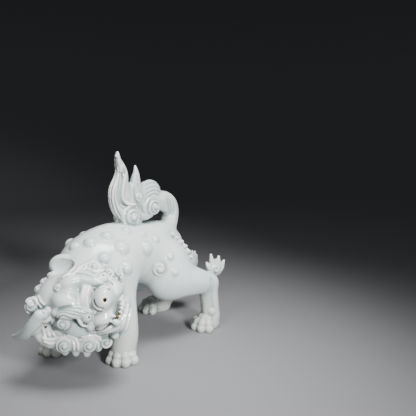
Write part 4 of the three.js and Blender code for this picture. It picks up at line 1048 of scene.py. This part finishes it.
def thin(piece, triangles):
    """Closes up the edges that carry the least shape, until few enough triangles are left."""
    now = 2 * len(piece.data.polygons)
    if now <= triangles:
        return
    bpy.context.view_layer.objects.active = piece
    modifier = piece.modifiers.new("thin", "DECIMATE")
    modifier.ratio = triangles / now
    bpy.ops.object.modifier_apply(modifier=modifier.name)


# Glaze

# Where firing left it brown: lines of places on the head, and small holes, each with a reach
STAINS = (
    ((-27.2, 27.6, -24.1, 1.2), (-25.4, 32.5, -25.4, 1.6), (-23.6, 34.7, -29.5, 1.6), (-20, 33.5, -35, 1.4)),
    ((-17, 34.5, -36.8, 1.3), (-12, 35, -39.6, 1.7), (-5, 35, -40, 1.8), (1, 33, -39.4, 1.8),
     (6, 34.5, -38, 1.4)),
    ((-30, 9, 20, 1), (-33, 5, 21.5, 1.1)),
)
HOLES = ((-4.2, 45, -22.7, 2), (7.2, 45.5, -23.5, 1.2), (-20, 33.8, -14.6, 1.3), (24, 33.8, -14.6, 1.3))
STAIN_STEPS = 24
# How many reaches away the brown ends, its share on bare skin and what a hollow adds
STAIN_END = 1.6
STAIN_SHARE = (0.55, 1.5)
HOLE_END = 2
HOLE_SHARE = (-0.5, 2.5)
# How far out from the skin a hollow is felt for, in a fine groove and in a broad valley. Hollows get painted
# shade.
HOLLOW_REACH = (2.5, 6)

# Colours of the glaze, from its two pale ones to those that lie over them. Valleys and grooves get painted
# shade.
PALE = (0.60, 0.68, 0.67)
WHITE = (0.665, 0.72, 0.70)
WARM = (0.56, 0.585, 0.53)
SHADED = (0.36, 0.45, 0.44)
POOLED_AND_PAINTED_SHADE = (0.23, 0.305, 0.295)
EDGE = (0.80, 0.81, 0.78)
SPECK = (0.30, 0.24, 0.17)
RUST = (0.085, 0.038, 0.014)
# Heights in metres between which the glaze turns warm towards the feet
WARM_FROM = 0.06
WARM_BELOW = 0.02
# Noises: scale and detail. The ragged one breaks up the brown between two of its values.
CLOUD_NOISE = (28, 3)
SPECK_NOISE = (620, 1)
RAGGED_NOISE = (300, 3)
RAGGED = (0.2, 0.6)
GLOSS_NOISE = (60, 2)
RIPPLE_NOISE = (230, 2)
ROUGHNESS = (0.1, 0.2)
# Ripples in the glaze: strength, and depth in metres
RIPPLE = 0.12
RIPPLE_DEPTH = 0.0006
GLAZE_IOR = 1.5


def mark_painted_shade_and_stains(piece, clay):
    """Marks on the mesh: how hollow and how sharp the skin is, and how brown. The hollow marks carry painted
    shade.
    """
    mesh = piece.data
    places = np.empty(3 * len(mesh.vertices), np.float32)
    ways = places.copy()
    mesh.vertices.foreach_get("co", places)
    mesh.vertices.foreach_get("normal", ways)
    places = places.reshape(-1, 3) / MM + (*PLAN_CENTRE, 0)
    ways = ways.reshape(-1, 3)
    near, wide = HOLLOW_REACH
    hollow = np.clip(1 - clay.sample(places + near * ways) / near, 0, 1)
    broad = np.clip(1 - clay.sample(places + wide * ways) / wide, 0, 1)
    sharp = np.clip(1 + clay.sample(places - near * ways) / near, 0, 1)
    brown = np.zeros(len(places), np.float32)

    def stain(x, y, z, reach, end, share):
        away = np.linalg.norm(places - (x, y, z), axis=1)
        bare, added = share
        here = np.clip(end - away / reach, 0, 1) * np.clip(bare + added * hollow, 0, 1)
        return np.maximum(brown, here)

    for line in STAINS:
        for row in smooth(on_head(line), STAIN_STEPS):
            brown = stain(*row, STAIN_END, STAIN_SHARE)
    for row in on_head(HOLES):
        brown = stain(*row, HOLE_END, HOLE_SHARE)
    for name, values in (("hollow", hollow), ("broad", broad), ("sharp", sharp), ("brown", brown)):
        layer = mesh.attributes.new(name, "FLOAT", "POINT")
        layer.data.foreach_set("value", values.astype(np.float32))


def node(material, kind, **settings):
    """A shader node. A setting with a capital is the value of a socket, any other is the node's own."""
    made = material.node_tree.nodes.new(kind)
    for name, value in settings.items():
        if name[0].isupper():
            made.inputs[name.replace("_", " ")].default_value = value
        else:
            setattr(made, name, value)
    return made


def mixed(material, share, first, second):
    """A colour between two others. The first is a colour or a socket."""
    mix = node(material, "ShaderNodeMix", data_type="RGBA")
    under, over = [socket for socket in mix.inputs if socket.type == "RGBA"]
    material.node_tree.links.new(share, mix.inputs["Factor"])
    if isinstance(first, tuple):
        under.default_value = (*first, 1)
    else:
        material.node_tree.links.new(first, under)
    over.default_value = (*second, 1)
    return next(socket for socket in mix.outputs if socket.type == "RGBA")


def spread(material, value, low, high, to=(0, 1)):
    """Stretches low to high over 0 to 1, or over another range."""
    stretch = node(material, "ShaderNodeMapRange", From_Min=low, From_Max=high, To_Min=to[0], To_Max=to[1])
    material.node_tree.links.new(value, stretch.inputs["Value"])
    return stretch.outputs["Result"]


def glaze():
    """White porcelain under a glaze that pools pale green in hollows and thins on edges, with painted shade
    darkening valleys and grooves.
    """
    material = bpy.data.materials.new("porcelain_glaze")
    material.use_nodes = True
    links = material.node_tree.links
    shader = material.node_tree.nodes["Principled BSDF"]
    place = node(material, "ShaderNodeTexCoord").outputs["Object"]

    def noise(scale, detail):
        texture = node(material, "ShaderNodeTexNoise", Scale=scale, Detail=detail)
        links.new(place, texture.inputs["Vector"])
        return texture.outputs[0]

    def mark(name):
        return node(material, "ShaderNodeAttribute", attribute_name=name).outputs["Fac"]

    height = node(material, "ShaderNodeSeparateXYZ")
    links.new(place, height.inputs["Vector"])
    ragged = node(material, "ShaderNodeMath", operation="MULTIPLY")
    links.new(mark("brown"), ragged.inputs[0])
    links.new(spread(material, noise(*RAGGED_NOISE), *RAGGED), ragged.inputs[1])
    # Each layer: where it lies, the values between which it sets in, and its colour
    layers = (
        (noise(*CLOUD_NOISE), 0.35, 0.65, WHITE),
        (height.outputs["Z"], WARM_FROM, WARM_BELOW, WARM),
        # Painted shade in broad valleys
        (mark("broad"), 0.06, 0.6, SHADED),
        # The glaze's green pooling in fine grooves, darkened further with painted shade
        (mark("hollow"), 0.02, 0.45, POOLED_AND_PAINTED_SHADE),
        (mark("sharp"), 0.1, 0.6, EDGE),
        (noise(*SPECK_NOISE), 0.79, 0.83, SPECK),
        (ragged.outputs["Value"], 0.08, 0.55, RUST),
    )
    colour = PALE
    for where, low, high, over in layers:
        colour = mixed(material, spread(material, where, low, high), colour, over)
    links.new(colour, shader.inputs["Base Color"])

    links.new(spread(material, noise(*GLOSS_NOISE), 0, 1, ROUGHNESS), shader.inputs["Roughness"])
    shader.inputs["IOR"].default_value = GLAZE_IOR
    bump = node(material, "ShaderNodeBump", Strength=RIPPLE, Distance=RIPPLE_DEPTH)
    links.new(noise(*RIPPLE_NOISE), bump.inputs["Height"])
    links.new(bump.outputs["Normal"], shader.inputs["Normal"])
    return material


# Stage

# A bowl round the figure: flat floor, rounded rise and wall. Metres.
FLOOR_RINGS = ((0.02, 0), (0.5, 0))
FLOOR_RADIUS = 1.1
RISE_RADIUS = 1.0
RISE_STEPS = 16
WALL_TOP = 2.6
BOWL_SIDES = 96
FLOOR_PAINT = (0.22, 0.22, 0.23, 1)
FLOOR_ROUGHNESS = 0.7
SKY = (0.92, 0.96, 1, 1)
SKY_STRENGTH = 0.17
# Square lamps: place, target and side in metres, power in watts, and the light's spread in degrees
LAMPS = dict(
    softbox_over=((0.22, 0, 0.9), (0.09, -0.08, 0.02), 0.36, 1.42, 58),
    softbox_right=((0.95, -0.2, 0.5), (0.03, 0, 0.08), 0.16, 0.95, 40),
    softbox_left=((0.2, -0.8, 0.95), (0, 0, 0.08), 0.24, 0.22, 50),
    softbox_back=((-0.7, 0.55, 0.7), (0, 0, 0.08), 0.5, 0.08, 60),
)


def bowl():
    turn = np.linspace(0, math.pi / 2, RISE_STEPS)
    rise = zip(FLOOR_RADIUS + RISE_RADIUS * np.sin(turn), RISE_RADIUS * (1 - np.cos(turn)))
    profile = [*FLOOR_RINGS, *rise, (FLOOR_RADIUS + RISE_RADIUS, WALL_TOP)]
    count = BOWL_SIDES
    angles = np.linspace(0, 2 * math.pi, count, endpoint=False)
    verts = [(r * math.cos(a), r * math.sin(a), z) for r, z in profile for a in angles]
    faces = [tuple(range(count))]
    for i in range(len(profile) - 1):
        for j in range(count):
            k = (j + 1) % count
            faces.append((i * count + j, i * count + k, (i + 1) * count + k, (i + 1) * count + j)[::-1])
    mesh = bpy.data.meshes.new("floor")
    mesh.from_pydata(verts, [], faces)
    mesh.polygons.foreach_set("use_smooth", np.ones(len(mesh.polygons), bool))
    return into_scene("floor", mesh)


def look(thing, place, target):
    """Puts a lamp or the camera at a place and turns it to a target."""
    thing.location = place
    thing.rotation_euler = (Vector(target) - Vector(place)).to_track_quat("-Z", "Y").to_euler()


def lamp(name, place, target, side, power, spread_angle):
    light = bpy.data.lights.new(name, "AREA")
    light.shape = "SQUARE"
    light.size = side
    light.energy = power
    light.spread = math.radians(spread_angle)
    look(into_scene(name, light), place, target)


def stage():
    floor = bowl()
    paint = bpy.data.materials.new("floor_paint")
    paint.use_nodes = True
    shader = paint.node_tree.nodes["Principled BSDF"]
    shader.inputs["Base Color"].default_value = FLOOR_PAINT
    shader.inputs["Roughness"].default_value = FLOOR_ROUGHNESS
    floor.data.materials.append(paint)

    world = bpy.data.worlds.new("studio")
    bpy.context.scene.world = world
    world.use_nodes = True
    background = world.node_tree.nodes["Background"]
    background.inputs["Color"].default_value = SKY
    background.inputs["Strength"].default_value = SKY_STRENGTH
    for name, row in LAMPS.items():
        lamp(name, *row)


# The photograph's camera: its place over the ground, the way it looks and its lens
CAMERA_PLACE = (418.47, -349.21, 250)
CAMERA_WAY = (-0.63452, 0.75619, -0.15988)
CAMERA_LENS = 40.15
SENSOR = 36
NEAR_END = 0.01


def camera():
    data = bpy.data.cameras.new("camera")
    data.sensor_width = SENSOR
    data.lens = CAMERA_LENS
    data.clip_start = NEAR_END
    eye = into_scene("camera", data)
    place = (np.array(CAMERA_PLACE) - (*PLAN_CENTRE, 0)) * MM
    look(eye, place, place + np.array(CAMERA_WAY))
    bpy.context.scene.camera = eye


camera()
stage()
clay = sculpt()
lion = to_object("porcelain_lion", *clay.mesh())
thin(lion, TRIANGLES)
mark_painted_shade_and_stains(lion, clay)
lion.data.materials.append(glaze())
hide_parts("lion")
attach(lion, "root")
